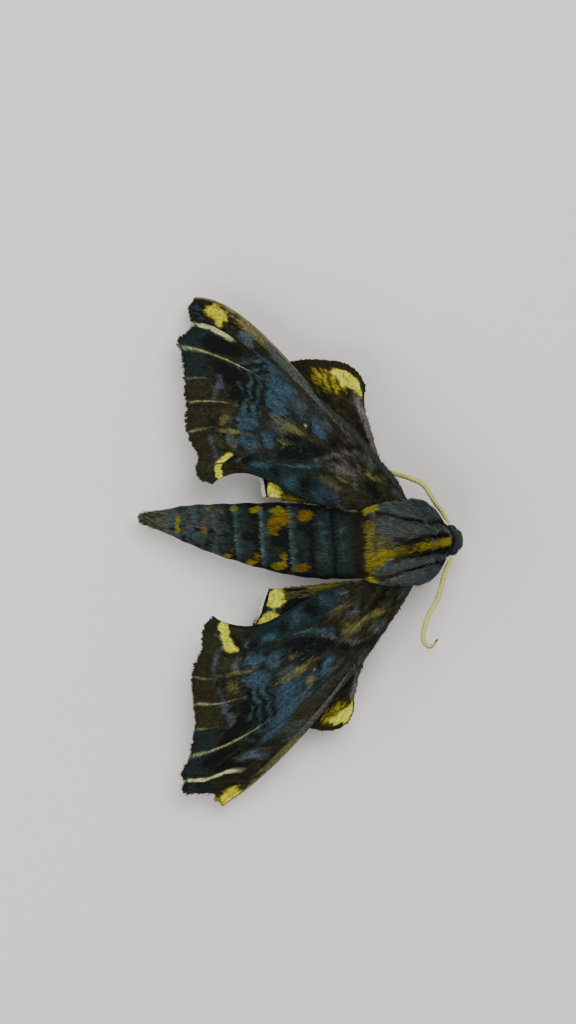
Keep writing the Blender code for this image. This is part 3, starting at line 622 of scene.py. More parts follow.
def thorax_marks(x, y, chips):
    """Colour of the thorax and head seen from above."""
    hair = mottle(x * 4.5, y * 1.1, 11)
    grains = [hair_grain(x, y, 20 + 3 * k) for k in range(4)]
    shade = chips["slate_fur"] * (1.0 + 0.36 * hair)[:, None]
    warm = smooth(-0.1, 0.8, mottle(x * 1.3, y * 0.8, 12))
    shade = scatter(shade, chips["olive"] * 1.5, 0.15 + 0.35 * warm, grains[0], 0.4)
    shade = scatter(shade, chips["slate_fur"] * 0.38, 0.36, grains[1], 0.15)
    light = 0.34 + 0.30 * mottle(x * 1.8, y * 1.2, 22)
    pale = (0.65 * chips["slate_fur"] + 0.35 * chips["lilac"]) * 1.38
    shade = scatter(shade, pale, light, grains[2], 0.15)
    for along, across, reach in ((-12.2, 3.2, 1.0), (-11.9, -3.4, 0.7)):
        blue = reach * np.exp(-(((y - along) / 1.4) ** 2 + ((x - across) / 1.0) ** 2))
        shade = lay(shade, chips["violet"] * (0.95 + 0.3 * hair)[:, None], 0.8 * blue)
    rear = smooth(-7.6, -6.7, y)
    shade = scatter(shade, chips["brown"] * 0.9, rear, grains[0])
    clump = smooth(-0.2, 0.5, mottle(x * 1.2, y * 1.1, 14))
    shade = scatter(shade, chips["black"], 0.7 * rear * clump, grains[1])
    side = smooth(3.9, 4.4, np.abs(x)) * smooth(-10.8, -10.2, y) * (1.0 - smooth(-8.3, -7.8, y))
    shade = scatter(shade, chips["black"], 0.8 * side, grains[3])
    # Dark lines along the four grooves, black in front and brown behind: the coat's own dark lines together
    # with painted shade in the grooves
    for table, width, first, last in (
        (GROOVE_OUTER_LEFT, 0.22, -14.4, -7.2),
        (GROOVE_OUTER_RIGHT, 0.22, -14.3, -7.0),
        (GROOVE_INNER_LEFT, 0.30, -14.8, -8.7),
        (GROOVE_INNER_RIGHT, 0.30, -14.8, -8.7),
    ):
        ragged = x + 0.07 * noise(x * 5.0, y * 2.2, 15)
        close = ridge_line(ragged, y, table, width, first, last)
        brown = smooth(-10.8, -9.8, y)
        tone = lay(chips["black"], chips["brown"] * 1.3, brown)
        shade = scatter(shade, tone, 1.7 * close, grains[2], 0.3)
    ragged = x + 0.09 * noise(x * 6.0, y * 2.5, 16)
    wide = ridge_line(ragged, y, ((-12.6, -0.35), (-11.0, -0.60), (-9.0, -0.75)), 0.60, -12.9, -8.7)
    shade = scatter(shade, chips["brown"] * 0.55, 1.3 * wide, grains[3], 0.3)
    shade = scatter(shade, chips["gold"] * 0.45, 0.62 * wide, grains[0], 0.25)
    shade = scatter(shade, chips["gold"] * 0.90, 0.36 * wide, grains[1], 0.2)
    broad = 1.0 / (1.0 + 0.25 * (1.0 - smooth(-14.2, -13.2, y)))
    middle = line_through(y, STRIPE)
    stripe = ridge_line(middle + (ragged - middle) * broad, y, STRIPE, 0.27, -15.0, -11.2)
    shade = scatter(shade, chips["gold"] * 0.50, 1.5 * stripe, grains[1], 0.3)
    bright = (1.0 + 0.25 * hair + 0.22 * smooth(-13.6, -14.4, y))[:, None]
    shade = scatter(shade, chips["gold"] * bright, 1.25 * stripe**1.3, grains[2], 0.35)
    left = line_through(y, TRIANGLE_LEFT)
    right = line_through(y, TRIANGLE_RIGHT)
    rough = 0.24 * noise(x * 5.0, y * 3.0, 18)
    inside = smooth(-0.14, 0.14, left - x + rough) * smooth(-0.14, 0.14, x - right + rough)
    rear_edge = -6.42 - 0.07 * x + 0.34 * noise(x * 4.5, y * 0.5, 21)
    inside *= smooth(-9.35, -9.05, y) * (1.0 - smooth(rear_edge - 0.25, rear_edge + 0.25, y))
    tuft = scatter(chips["khaki"], chips["lemon"] * 0.42, 0.55 * smooth(-7.7, -6.9, y), grains[0], 0.4)
    bright = smooth(-0.35, -0.75, x + 0.35 * noise(x * 1.5, y * 1.5, 19) + 0.12 * (y + 7.5))
    tuft = scatter(tuft, chips["gold"] * 1.05, bright, grains[1], 0.4)
    tuft = scatter(tuft, chips["gold"] * 0.85, smooth(1.4, 1.9, x), grains[2], 0.4)
    tuft = scatter(tuft, chips["ochre"] * 0.45, 0.22, grains[3], 0.3)
    tuft = scatter(tuft, chips["brown"] * 0.9, 0.22, grains[1], 0.1)
    tuft = tuft * (1.0 + 0.35 * hair)[:, None]
    shade = lay(shade, tuft, inside)
    for centre, reach in (((3.90, -7.05), (0.85, 1.00)), ((-3.90, -6.70), (0.72, 0.85))):
        away = oval(x, y, *centre, *reach)
        cover = 1.0 - smooth(0.5, 1.25, away + 0.2 * hair)
        shade = scatter(shade, chips["lemon"] * 0.58, cover, grains[1], 0.4)
    collar_line = -15.05 + 0.29 * np.abs(x - 0.05) ** 1.6
    collar = peak(y - collar_line, 0.19) * (1.0 - smooth(2.4, 2.9, np.abs(x)))
    collar *= 1.0 - 0.35 * peak(x + 0.05, 0.7)
    head = 1.0 - smooth(-0.12, 0.12, y - collar_line)
    head_shade = lay(chips["slate_fur"] * 0.80, chips["slate_blue"], 0.35)
    head_shade = head_shade * (1.0 + 0.22 * hair)[:, None]
    head_shade = lay(head_shade, chips["violet"] * 0.62, smooth(0.0, -0.6, x))
    brow = np.exp(-(((x - 0.10) / 0.50) ** 2) - ((y + 15.22) / 0.32) ** 2)
    head_shade = lay(head_shade, chips["brown"] * 1.1, 0.8 * brow)
    shade = lay(shade, head_shade, head)
    return scatter(shade, chips["black"], 1.1 * collar, grains[3], 0.2)


# Spots of the abdomen seen from above: colour, along, across, half lengths, lean, amount
ABDOMEN_SPOTS = (
    ("ochre", 1.7, 3.25, 0.85, 0.75, 0.0, 1.0), ("ochre", 2.7, 2.6, 0.65, 1.05, 0.0, 1.0),
    ("gold", 2.1, 4.15, 0.75, 0.34, 0.0, 0.9), ("ochre", -0.5, 3.4, 0.72, 0.62, 0.0, 0.9),
    ("gold", 4.4, 4.35, 0.66, 0.36, 0.0, 0.95), ("gold", 6.6, 4.6, 0.36, 0.34, 0.0, 1.0),
    ("ochre", 7.7, 4.4, 0.22, 0.26, 0.0, 0.75), ("ochre", 9.2, 4.62, 0.2, 0.36, 0.0, 0.85),
    ("ochre", 9.7, 2.8, 0.22, 0.85, 0.1, 0.65), ("ochre", 7.95, 2.35, 0.14, 0.35, 0.0, 0.55),
    ("gold", 12.35, 3.45, 0.28, 1.05, -0.18, 0.85), ("gold", 2.45, -1.45, 0.85, 0.42, -0.2, 0.95),
    ("ochre", 1.85, -0.6, 0.32, 0.55, 0.0, 0.9), ("ochre", 0.1, -1.75, 0.85, 0.42, -0.55, 0.95),
    ("ochre", 4.55, -0.4, 0.26, 0.46, 0.0, 0.85), ("gold", 5.25, -0.9, 0.5, 0.3, 0.0, 1.0),
    ("gold", 7.55, -0.1, 0.4, 0.2, 0.0, 0.95), ("ochre", 7.0, 0.45, 0.18, 0.2, 0.0, 0.6),
)
# Black patches of the abdomen: along, across, half lengths
ABDOMEN_BLACK = (
    (8.95, 2.45, 0.45, 0.28), (7.6, 2.05, 0.55, 0.25), (5.3, 1.75, 0.85, 0.45), (2.2, 1.25, 0.95, 0.8),
    (0.0, 2.2, 0.5, 0.35), (10.4, 2.75, 0.35, 0.22), (-1.15, 3.9, 0.4, 0.9), (0.1, -2.65, 1.1, 0.35),
)
# How strongly the pale fringe shows along the abdomen: distance along, amount
FRINGE_STRENGTH = (
    (-1.6, 0.0), (-1.2, 0.25), (0.9, 0.6), (1.3, 0.85), (4.2, 0.95), (6.6, 0.75), (9.0, 0.45),
    (11.0, 0.45), (12.6, 0.3), (13.2, 0.0),
)


def abdomen_marks(x, y, chips):
    """Colour of the abdomen seen from above."""
    middle, _, reach, _ = body_profile(y)
    across = x - middle
    edge = np.abs(across) / np.maximum(reach, 0.1)
    hair = mottle(across * 3.6, y * 1.9, 31)
    grains = [flecks(across * 5.5, y * 3.0, 30 + 3 * k) for k in range(4)]
    shade = chips["abdomen_slate"] * (1.0 + 0.55 * hair)[:, None]
    patch = mottle(across * 1.5, y * 1.0, 32)
    phase = segment_phase(y)
    early = 1.0 - smooth(0.10, 0.55, phase + 0.25 * patch)
    late = smooth(0.62, 0.95, phase + 0.25 * patch)
    on_rear = smooth(-1.4, -1.0, y)
    rear = smooth(5.0, 9.0, y)
    pale = (0.16 + 0.46 * late + 0.22 * rear) * on_rear
    shade = scatter(shade, chips["fringe"] * 0.66, pale, grains[1], 0.3)
    shade = scatter(shade, chips["olive"] * 0.8, 0.30, grains[2], 0.4)
    dark = (0.16 + 0.60 * early - 0.15 * rear) * on_rear
    shade = scatter(shade, chips["black"] * 1.7, dark, grains[3], 0.25)
    broad = peak(y + 2.1, 0.75) + 0.8 * peak(y + 3.95, 0.4)
    inner = 1.0 - smooth(0.55, 0.85, edge)
    shade = scatter(shade, chips["fringe"] * 0.62, (0.50 + 0.25 * patch) * broad * inner, grains[1], 0.2)
    gap = peak(y + 3.2, 0.28) + peak(y + 1.05, 0.22)
    shade = scatter(shade, chips["black"] * 1.4, 0.8 * gap, grains[2], 0.4)
    shade = scatter(shade, chips["slate_fur"] * 0.90, 0.5 * smooth(6.0, 9.0, y), grains[3], 0.3)
    blotch = smooth(0.05, 0.55, mottle(across * 1.5, y * 1.7, 39)) * on_rear
    shade = scatter(shade, chips["black"] * 1.6, 0.60 * blotch, grains[2], 0.2)
    blotch = smooth(0.15, 0.6, mottle(across * 1.7, y * 1.5, 43)) * on_rear
    shade = scatter(shade, chips["olive"], 0.50 * blotch, grains[1], 0.2)
    for along, place, half_along, half_across in ABDOMEN_BLACK:
        away = oval(y, x, along, place, half_along, half_across)
        cover = 1.0 - smooth(0.4, 1.5, away + 0.2 * hair)
        shade = scatter(shade, chips["black"] * 1.3, cover, grains[0], 0.35)
    flank = smooth(0.80, 0.95, edge) * (1.0 - smooth(4.0, 10.0, y))
    shade = scatter(shade, chips["black"] * 1.5, 0.75 * flank, grains[1], 0.4)
    waist = smooth(-6.8, -6.0, y) * (1.0 - smooth(-5.2, -4.4, y))
    shade = scatter(shade, chips["brown"] * 0.9, 0.85 * waist, grains[2], 0.4)
    shade = scatter(shade, chips["black"], 0.45 * waist, grains[3], 0.4)
    comb = 0.16 * mottle(x * 7.0, y * 0.8, 35)
    for chip, along, place, half_along, half_across, lean, amount in ABDOMEN_SPOTS:
        off = y - along - lean * (x - place) + comb
        away = np.sqrt((off / half_along) ** 2 + ((x - place) / half_across) ** 2)
        cover = amount * (1.0 - smooth(0.45, 1.45, away + 0.25 * mottle(x * 2.6, y * 1.8, 33)))
        mark = chips[chip] * (1.0 + 0.40 * grains[0])[:, None]
        shade = scatter(shade, mark, cover, grains[3], 0.25)
    line = peak(phase - 0.955, 0.055) + peak(phase, 0.03)
    strength = line_through(y, FRINGE_STRENGTH) * (0.8 + 0.5 * mottle(across * 1.3, y * 0.3, 37))
    shade = scatter(shade, chips["fringe"], strength * line, grains[2], 0.45)
    tail = smooth(12.9, 13.9, y)
    shade = scatter(shade, chips["tail"] * (1.0 + 0.3 * hair)[:, None], tail, grains[1], 0.4)
    return scatter(shade, chips["black"] * 1.8, 0.45 * tail, grains[0], 0.35)


def body_marks(points, facing):
    """Colour of the body at its points, by how far up each one faces."""
    chips = colours()
    x, y = points[:, 0], points[:, 1]
    top = lay(thorax_marks(x, y, chips), abdomen_marks(x, y, chips), smooth(-6.6, -6.0, y))
    hair = mottle(x * 2.5 + points[:, 2], y * 1.4, 41)
    below = chips["underside"] * (0.8 + 0.25 * hair)[:, None]
    rust = smooth(-0.3, 0.5, mottle(x * 0.8, y * 0.8, 42))
    below = lay(below, chips["rust"] * 0.8, 0.5 * rust)
    phase = segment_phase(y)
    pale = peak(phase - 0.95, 0.07) * smooth(-1.6, -1.2, y)
    below = lay(below, chips["khaki"], 0.4 * pale)
    below = lay(below, chips["slate_fur"] * (0.45 + 0.2 * hair)[:, None], 1.0 - smooth(-14.6, -13.9, y))
    return lay(below, top, smooth(-0.25, 0.15, facing))


# Tufts


def grow_tufts(name, finish, roots, normals, lie, length, width, lift, shades, uv, seed):
    """Tapered solid tufts, one a root, as one finished piece that follows the lie of the coat."""
    count = len(roots)
    rng = np.random.default_rng(seed)
    width = np.broadcast_to(width, count)
    normals = np.broadcast_to(normals, roots.shape)
    lie = unit(lie - normals * np.sum(lie * normals, axis=1)[:, None])
    side = np.cross(lie, normals)
    bend = rng.normal(0.0, 0.10, count)
    corners = []
    # Each ring of a tuft gets painted shade, darkest at the root and lightest at the tip
    painted_shading = []
    for step, taper in zip(TUFT_STEPS, TUFT_TAPERS):
        rise = lift * (step - 0.75 * step * step) - 0.05 * (1.0 - step)
        spine = roots + lie * (length * step)[:, None] + normals * rise[:, None]
        spine = spine + side * (bend * length * step * step)[:, None]
        for across, up in TUFT_RING:
            corner = spine + side * (width * taper * across)[:, None]
            corners.append(corner + normals * (width * taper * up)[:, None])
            painted_shading.append(ROOT_PAINTED_SHADE + PAINTED_LIGHT_GAIN * step)
    tip = roots + lie * length[:, None] + normals * (lift * 0.25)[:, None]
    corners.append(tip + side * (bend * length)[:, None])
    painted_shading.append(TIP_PAINTED_LIGHT)
    per = len(corners)
    points = np.stack(corners, axis=1).reshape(-1, 3)
    pattern = [(0, 2, 1)]
    for level in (0, 3):
        for a, b in ((0, 1), (1, 2), (2, 0)):
            pattern.append((level + a, level + b, level + b + 3, level + a + 3))
    pattern += [(6, 7, 9), (7, 8, 9), (8, 6, 9)]
    starts = np.arange(count) * per
    faces = []
    for face in pattern:
        faces += (starts[:, None] + np.array(face)).tolist()
    turn = np.arange(per) * 2.1
    patch = PATCH_REACH * columns(np.cos(turn), np.sin(turn))
    places = (uv[:, None, :] + patch[None, :, :]).reshape(-1, 2)
    obj = mesh_piece(name, points, faces, places)
    vary = rng.uniform(*TUFT_SHADES, count)
    # Colour of each point: the tuft's colour, its random tone and the painted shade along the tuft
    shade = (shades * vary[:, None])[:, None, :] * np.array(painted_shading)[None, :, None]
    set_colour(obj.data, np.clip(shade.reshape(-1, 3), 0.0, 1.0))
    obj.data.shade_smooth()
    finish_piece(obj, name, finish)


def body_roots(count, first, last, seed, gap=0.03):
    """Random places on the skin between two distances along the body, even by area."""
    rng = np.random.default_rng(seed)
    y = rng.uniform(first, last, count * 4)
    angle = rng.uniform(0.0, 2.0 * np.pi, count * 4)
    girth = body_profile(y)[2]
    keep = rng.uniform(0.0, girth.max(), count * 4) < girth
    y, angle = y[keep][:count], angle[keep][:count]
    points = body_surface(y, angle)
    normals = body_normals(y, angle, gap)
    uv = columns(angle / (2.0 * np.pi), (y - UV_FRONT) / UV_LENGTH)
    return y, points, outward(normals, points), uv


def outward(normals, points):
    """The same normals, all turned away from the body's middle."""
    middle, height, _, _ = body_profile(points[:, 1])
    away = columns(points[:, 0] - middle, 0.0, points[:, 2] - height)
    return normals * np.where(np.sum(normals * away, axis=1) < 0.0, -1.0, 1.0)[:, None]


class MOTH_OT_body(bpy.types.Operator):
    """Build the one skin of head, thorax and abdomen"""

    bl_idname = "moth.body"
    bl_label = "Body skin"

    def execute(self, context):
        obj, share, angle = new_ball(*SKIN_CELLS)
        y = SKIN_FRONT + share * (SKIN_REAR - SKIN_FRONT)
        points = body_surface(y, angle)
        pole = (share < 1e-4) | (share > 1.0 - 1e-4)
        middle, height, _, _ = body_profile(y)
        points[pole] = columns(middle, y, height)[pole]
        set_points(obj.data, points)
        face_out()
        facing = outward(body_normals(y, angle), points)[:, 2]
        set_colour(obj.data, body_marks(points, facing) * 0.8)
        obj.data.shade_smooth()
        skin = scale_material("body_skin", 0.85, 0.35, (7000.0, 1800.0, 7000.0), bump=0.6)
        finish_piece(obj, "body_skin", skin, ("thorax", "abdomen", "head"))
        return {"FINISHED"}


class MOTH_OT_thorax_fur(bpy.types.Operator):
    """Grow the hair of the thorax, swept back along its bands"""

    bl_idname = "moth.thorax_fur"
    bl_label = "Thorax fur"

    def execute(self, context):
        count = context.scene.moth_sizes.thorax_tufts
        y, points, normals, uv = body_roots(count, -14.35, -4.4, 101)
        rng = np.random.default_rng(102)
        x = points[:, 0]
        lie = columns(0.10 * np.sign(x) * np.abs(x) ** 0.5, 1.0, -0.10)
        lie += rng.normal(0.0, 0.13, lie.shape)
        front = 1.0 - smooth(-14.0, -12.6, y)
        collar = 1.0 - smooth(-14.3, -13.9, y)
        top = smooth(0.0, 0.5, normals[:, 2])
        crest = ridge_line(x, y, STRIPE, 0.45, -14.9, -8.8) * top
        inside = smooth(-0.1, 0.1, line_through(y, TRIANGLE_LEFT) - x)
        inside *= smooth(-0.1, 0.1, x - line_through(y, TRIANGLE_RIGHT)) * smooth(-9.4, -9.0, y)
        inside *= top * (1.0 - smooth(-6.3, -6.0, y))
        lie[:, 0] += 0.9 * collar * np.sign(x)
        length = sizes("thorax_hair") * rng.uniform(0.75, 1.2, len(x))
        length *= 1.0 - 0.45 * front - 0.45 * crest + 0.15 * inside
        lift = length * (0.16 + 0.10 * rng.uniform(0.0, 1.0, len(x)) + 0.30 * crest + 0.16 * inside)
        lift += 0.22 * front * (1.0 - crest)
        width = sizes("hair_width") * rng.uniform(0.8, 1.25, len(x))
        seen = points + unit(lie) * (0.55 * length)[:, None]
        shades = body_marks(seen, normals[:, 2])
        finish = scale_material("thorax_hair", 0.78, 0.16, (9000.0, 2500.0, 9000.0), bump=0.2)
        for side, pick in (("left", x > 0.0), ("right", x <= 0.0)):
            grow_tufts(
                f"thorax_fur_{side}", finish, points[pick], normals[pick], lie[pick],
                length[pick], width[pick], lift[pick], shades[pick], uv[pick], 103,
            )
        return {"FINISHED"}


class MOTH_OT_abdomen_fur(bpy.types.Operator):
    """Lay the scales of the abdomen, longer at each segment's edge and at the tail"""

    bl_idname = "moth.abdomen_fur"
    bl_label = "Abdomen scales"

    def execute(self, context):
        count = context.scene.moth_sizes.abdomen_tufts
        y, points, normals, uv = body_roots(count, -4.9, 15.6, 201, gap=0.5)
        rng = np.random.default_rng(202)
        lie = np.tile((0.2, 1.0, -0.1), (len(y), 1))
        tail = smooth(12.8, 14.2, y)
        lie += rng.normal(0.0, 0.10, lie.shape) * (1.0 + 1.2 * tail)[:, None]
        phase = segment_phase(y)
        rim = smooth(0.80, 0.95, phase)
        length = sizes("abdomen_hair") * rng.uniform(0.8, 1.2, len(y))
        length *= 1.0 + 0.25 * rim + 1.5 * tail * rng.uniform(0.4, 1.0, len(y))
        length = np.minimum(length, 16.3 - y + 0.1)
        lift = length * (0.10 + 0.08 * rng.uniform(0.0, 1.0, len(y)) + 0.04 * rim + 0.16 * tail)
        width = sizes("hair_width") * rng.uniform(0.8, 1.3, len(y)) * (1.0 - 0.1 * tail)
        seen = points + unit(lie) * (0.55 * length)[:, None]
        shades = body_marks(seen, normals[:, 2])
        finish = scale_material("abdomen_scale", 0.72, 0.16, (9000.0, 2500.0, 9000.0), bump=0.2)
        across = points[:, 0] - body_profile(y)[0]
        for side, pick in (("left", across > 0.0), ("right", across <= 0.0)):
            grow_tufts(
                f"abdomen_scales_{side}", finish, points[pick], normals[pick], lie[pick],
                length[pick], width[pick], lift[pick], shades[pick], uv[pick], 203,
            )
        return {"FINISHED"}


class MOTH_OT_head_fur(bpy.types.Operator):
    """Grow the short hair of the head and the palps, and set the eyes"""

    bl_idname = "moth.head_fur"
    bl_label = "Head, eyes and palps"

    def execute(self, context):
        y, points, normals, uv = body_roots(HEAD_TUFTS, -16.03, -14.30, 301)
        rng = np.random.default_rng(302)
        eye_away = np.sqrt(
            (np.abs(points[:, 0] - HEAD_MIDDLE) - EYE[0]) ** 2
            + (points[:, 1] - EYE[1]) ** 2
            + (points[:, 2] - EYE[2]) ** 2
        )
        keep = eye_away > 0.66
        y, points, normals, uv = y[keep], points[keep], normals[keep], uv[keep]
        lie = columns(0.3 * (points[:, 0] - HEAD_MIDDLE), -0.45, -0.5)
        lie += rng.normal(0.0, 0.12, lie.shape)
        length = sizes("head_hair") * rng.uniform(0.7, 1.2, len(y))
        length = np.minimum(length, 0.14 + (y + 16.0) * 0.5)
        lift = length * (0.16 + 0.10 * rng.uniform(0.0, 1.0, len(y)))
        width = sizes("hair_width") * rng.uniform(0.7, 1.0, len(y)) * 0.85
        seen = points + unit(lie) * (0.4 * length)[:, None]
        shades = body_marks(seen, normals[:, 2])
        around = np.linalg.norm(points[:, 1:] - np.array(EYE[1:]), axis=1)
        brow = (1.0 - smooth(0.55, 0.95, around)) * smooth(0.55, 0.8, np.abs(points[:, 0] - HEAD_MIDDLE))
        brow *= smooth(EYE[2] + 0.2, EYE[2] + 0.45, points[:, 2])
        lie[:, 0] += 0.6 * brow * np.sign(points[:, 0] - HEAD_MIDDLE)
        length += 0.10 * brow
        finish = scale_material("head_hair", 0.8, 0.16, (9000.0, 9000.0, 2500.0), bump=0.2)
        grow_tufts("head_fur", finish, points, normals, lie, length, width, lift, shades, uv, 303)
        self.eyes(context)
        self.palps()
        return {"FINISHED"}

    def eyes(self, context):
        material, tree, shader = new_material("eye_gloss")
        chips = colours()
        cells = node(tree, "ShaderNodeTexVoronoi")
        cells.inputs["Scale"].default_value = 26000.0
        coordinates = node(tree, "ShaderNodeTexCoord")
        tree.links.new(coordinates.outputs["Object"], cells.inputs["Vector"])
        relief = node(tree, "ShaderNodeBump")
        relief.inputs["Strength"].default_value = 0.25
        relief.inputs["Distance"].default_value = 0.00001
        tree.links.new(cells.outputs["Distance"], relief.inputs["Height"])
        tree.links.new(relief.outputs["Normal"], shader.inputs["Normal"])
        shader.inputs["Base Color"].default_value = (*chips["eye"], 1.0)
        shader.inputs["Roughness"].default_value = 0.18
        shader.inputs["Coat Weight"].default_value = 0.6
        shader.inputs["Coat Roughness"].default_value = 0.08
        for side, sign in (("left", 1.0), ("right", -1.0)):
            deselect()
            bpy.ops.mesh.primitive_uv_sphere_add(segments=48, ring_count=32, radius=EYE_RADIUS)
            obj = context.object
            ball = get_points(obj.data) * np.array((EYE_FLATNESS, 1.0, 1.0))
            set_points(obj.data, ball + np.array((sign * EYE[0] + HEAD_MIDDLE, EYE[1], EYE[2])))
            obj.data.shade_smooth()
            finish_piece(obj, f"eye_ball_{side}", material, (f"eye_{side}",))

    def palps(self):
        chips = colours()
        path = np.array(PALP_PATH)
        steps = np.linspace(0.0, 1.0, len(path))
        finish = scale_material("palp_hair", 0.82, 0.2, (9000.0, 6000.0, 6000.0), bump=0.3)
        for side, sign in (("left", 1.0), ("right", -1.0)):
            middle = sign * PALP_ASIDE + HEAD_MIDDLE
            obj, share, turn = new_ball(24, 40)
            along = np.interp(share, steps, path[:, 0])
            height = np.interp(share, steps, path[:, 1])
            radius = np.interp(share, steps, PALP_RADII)
            radius *= np.sqrt(np.clip(1.0 - (2.0 * share - 1.0) ** 8, 0.0, 1.0))
            lean = along + 0.3 * radius * np.sin(turn)
            points = columns(middle + radius * np.cos(turn), lean, height + radius * np.sin(turn))
            set_points(obj.data, points)
            face_out()
            set_colour(obj.data, np.tile(chips["brown"] * 0.8, (len(points), 1)))
            obj.data.shade_smooth()
            finish_piece(obj, f"palp_skin_{side}", finish, (f"palp_{side}",))
            rng = np.random.default_rng(310 + int(sign))
            pick = rng.choice(len(points), PALP_TUFTS)
            away = columns(points[:, 0] - middle, 0.0, points[:, 2] - height)
            away = unit(away + 1e-6)[pick]
            lie = np.tile((0.0, -0.9, 0.35), (len(pick), 1)) + rng.normal(0.0, 0.15, (len(pick), 3))
            length = rng.uniform(0.12, 0.24, len(pick))
            shades = lay(chips["brown"] * 0.9, chips["slate_fur"] * 0.7, smooth(0.0, 0.5, away[:, 2]))
            uv = columns(turn[pick] / (2.0 * np.pi) + 0.5, share[pick])
            grow_tufts(
                f"palp_fur_{side}", finish, points[pick], away, lie, length, 0.07,
                length * 0.2, shades, uv, 320 + int(sign),
            )


# Wings


def last_vein(wing):
    return len(WINGS[wing][1]) - 1


def wing_height(x, y):
    out = np.maximum(0.0, np.abs(x) - HINGE_X)
    return WING_ROOT_HEIGHT + WING_RISE * out - WING_DROOP * out * out - WING_REAR_FALL * (y + 8.0)


def edge_point(edge, place):
    """Point of a wing's scalloped edge at each vein number, on a soft curve through its table."""
    rows = np.array(edge)
    knots = rows[:, 0]
    slopes = np.gradient(rows[:, 1:], knots, axis=0)
    index = np.clip(np.searchsorted(knots, place, side="right") - 1, 0, len(knots) - 2)
    span = (knots[index + 1] - knots[index])[:, None]
    t = (place - knots[index])[:, None] / span
    start, end = rows[index, 1:], rows[index + 1, 1:]
    leave, arrive = slopes[index] * span, slopes[index + 1] * span
    curve = (2 * t**3 - 3 * t**2 + 1) * start + (t**3 - 2 * t**2 + t) * leave
    curve = curve + (3 * t**2 - 2 * t**3) * end + (t**3 - t**2) * arrive
    return 0.5 * curve + 0.5 * (start * (1.0 - t) + end * t)


def wing_sheet(wing, place, share):
    """Points of a wing's middle sheet by vein number and share of the way to the edge."""
    sign, veins, edge, root, drop = WINGS[wing]
    rows = np.array(veins)
    index = np.minimum(place.astype(int), len(rows) - 2)
    weight = (place - index)[:, None]
    row = rows[index] * (1.0 - weight) + rows[index + 1] * weight
    across = (place / (len(rows) - 1))[:, None]
    start = np.array(root[0]) * (1.0 - across) + np.array(root[1]) * across
    end = edge_point(edge, place)
    length = np.linalg.norm(end - start, axis=1)[:, None]
    leave, arrive = np.radians(row[:, 0]), np.radians(row[:, 1])
    first = start + columns(np.cos(leave), np.sin(leave)) * row[:, 2:3] * length
    second = end - columns(np.cos(arrive), np.sin(arrive)) * row[:, 3:4] * length
    s = share[:, None]
    rest = 1.0 - s
    flat = start * rest**3 + first * 3.0 * s * rest * rest + second * 3.0 * s * s * rest + end * s**3
    height = wing_height(flat[:, 0], flat[:, 1]) - drop
    return columns(sign * flat[:, 0], flat[:, 1], height)


def band(place, share, table, width):
    """Closeness to a line across the wing given by (vein number, share) rows."""
    return peak(share - line_through(place, table), width)


def between(value, low, high, soft):
    return smooth(low - soft, low + soft, value) * (1.0 - smooth(high - soft, high + soft, value))


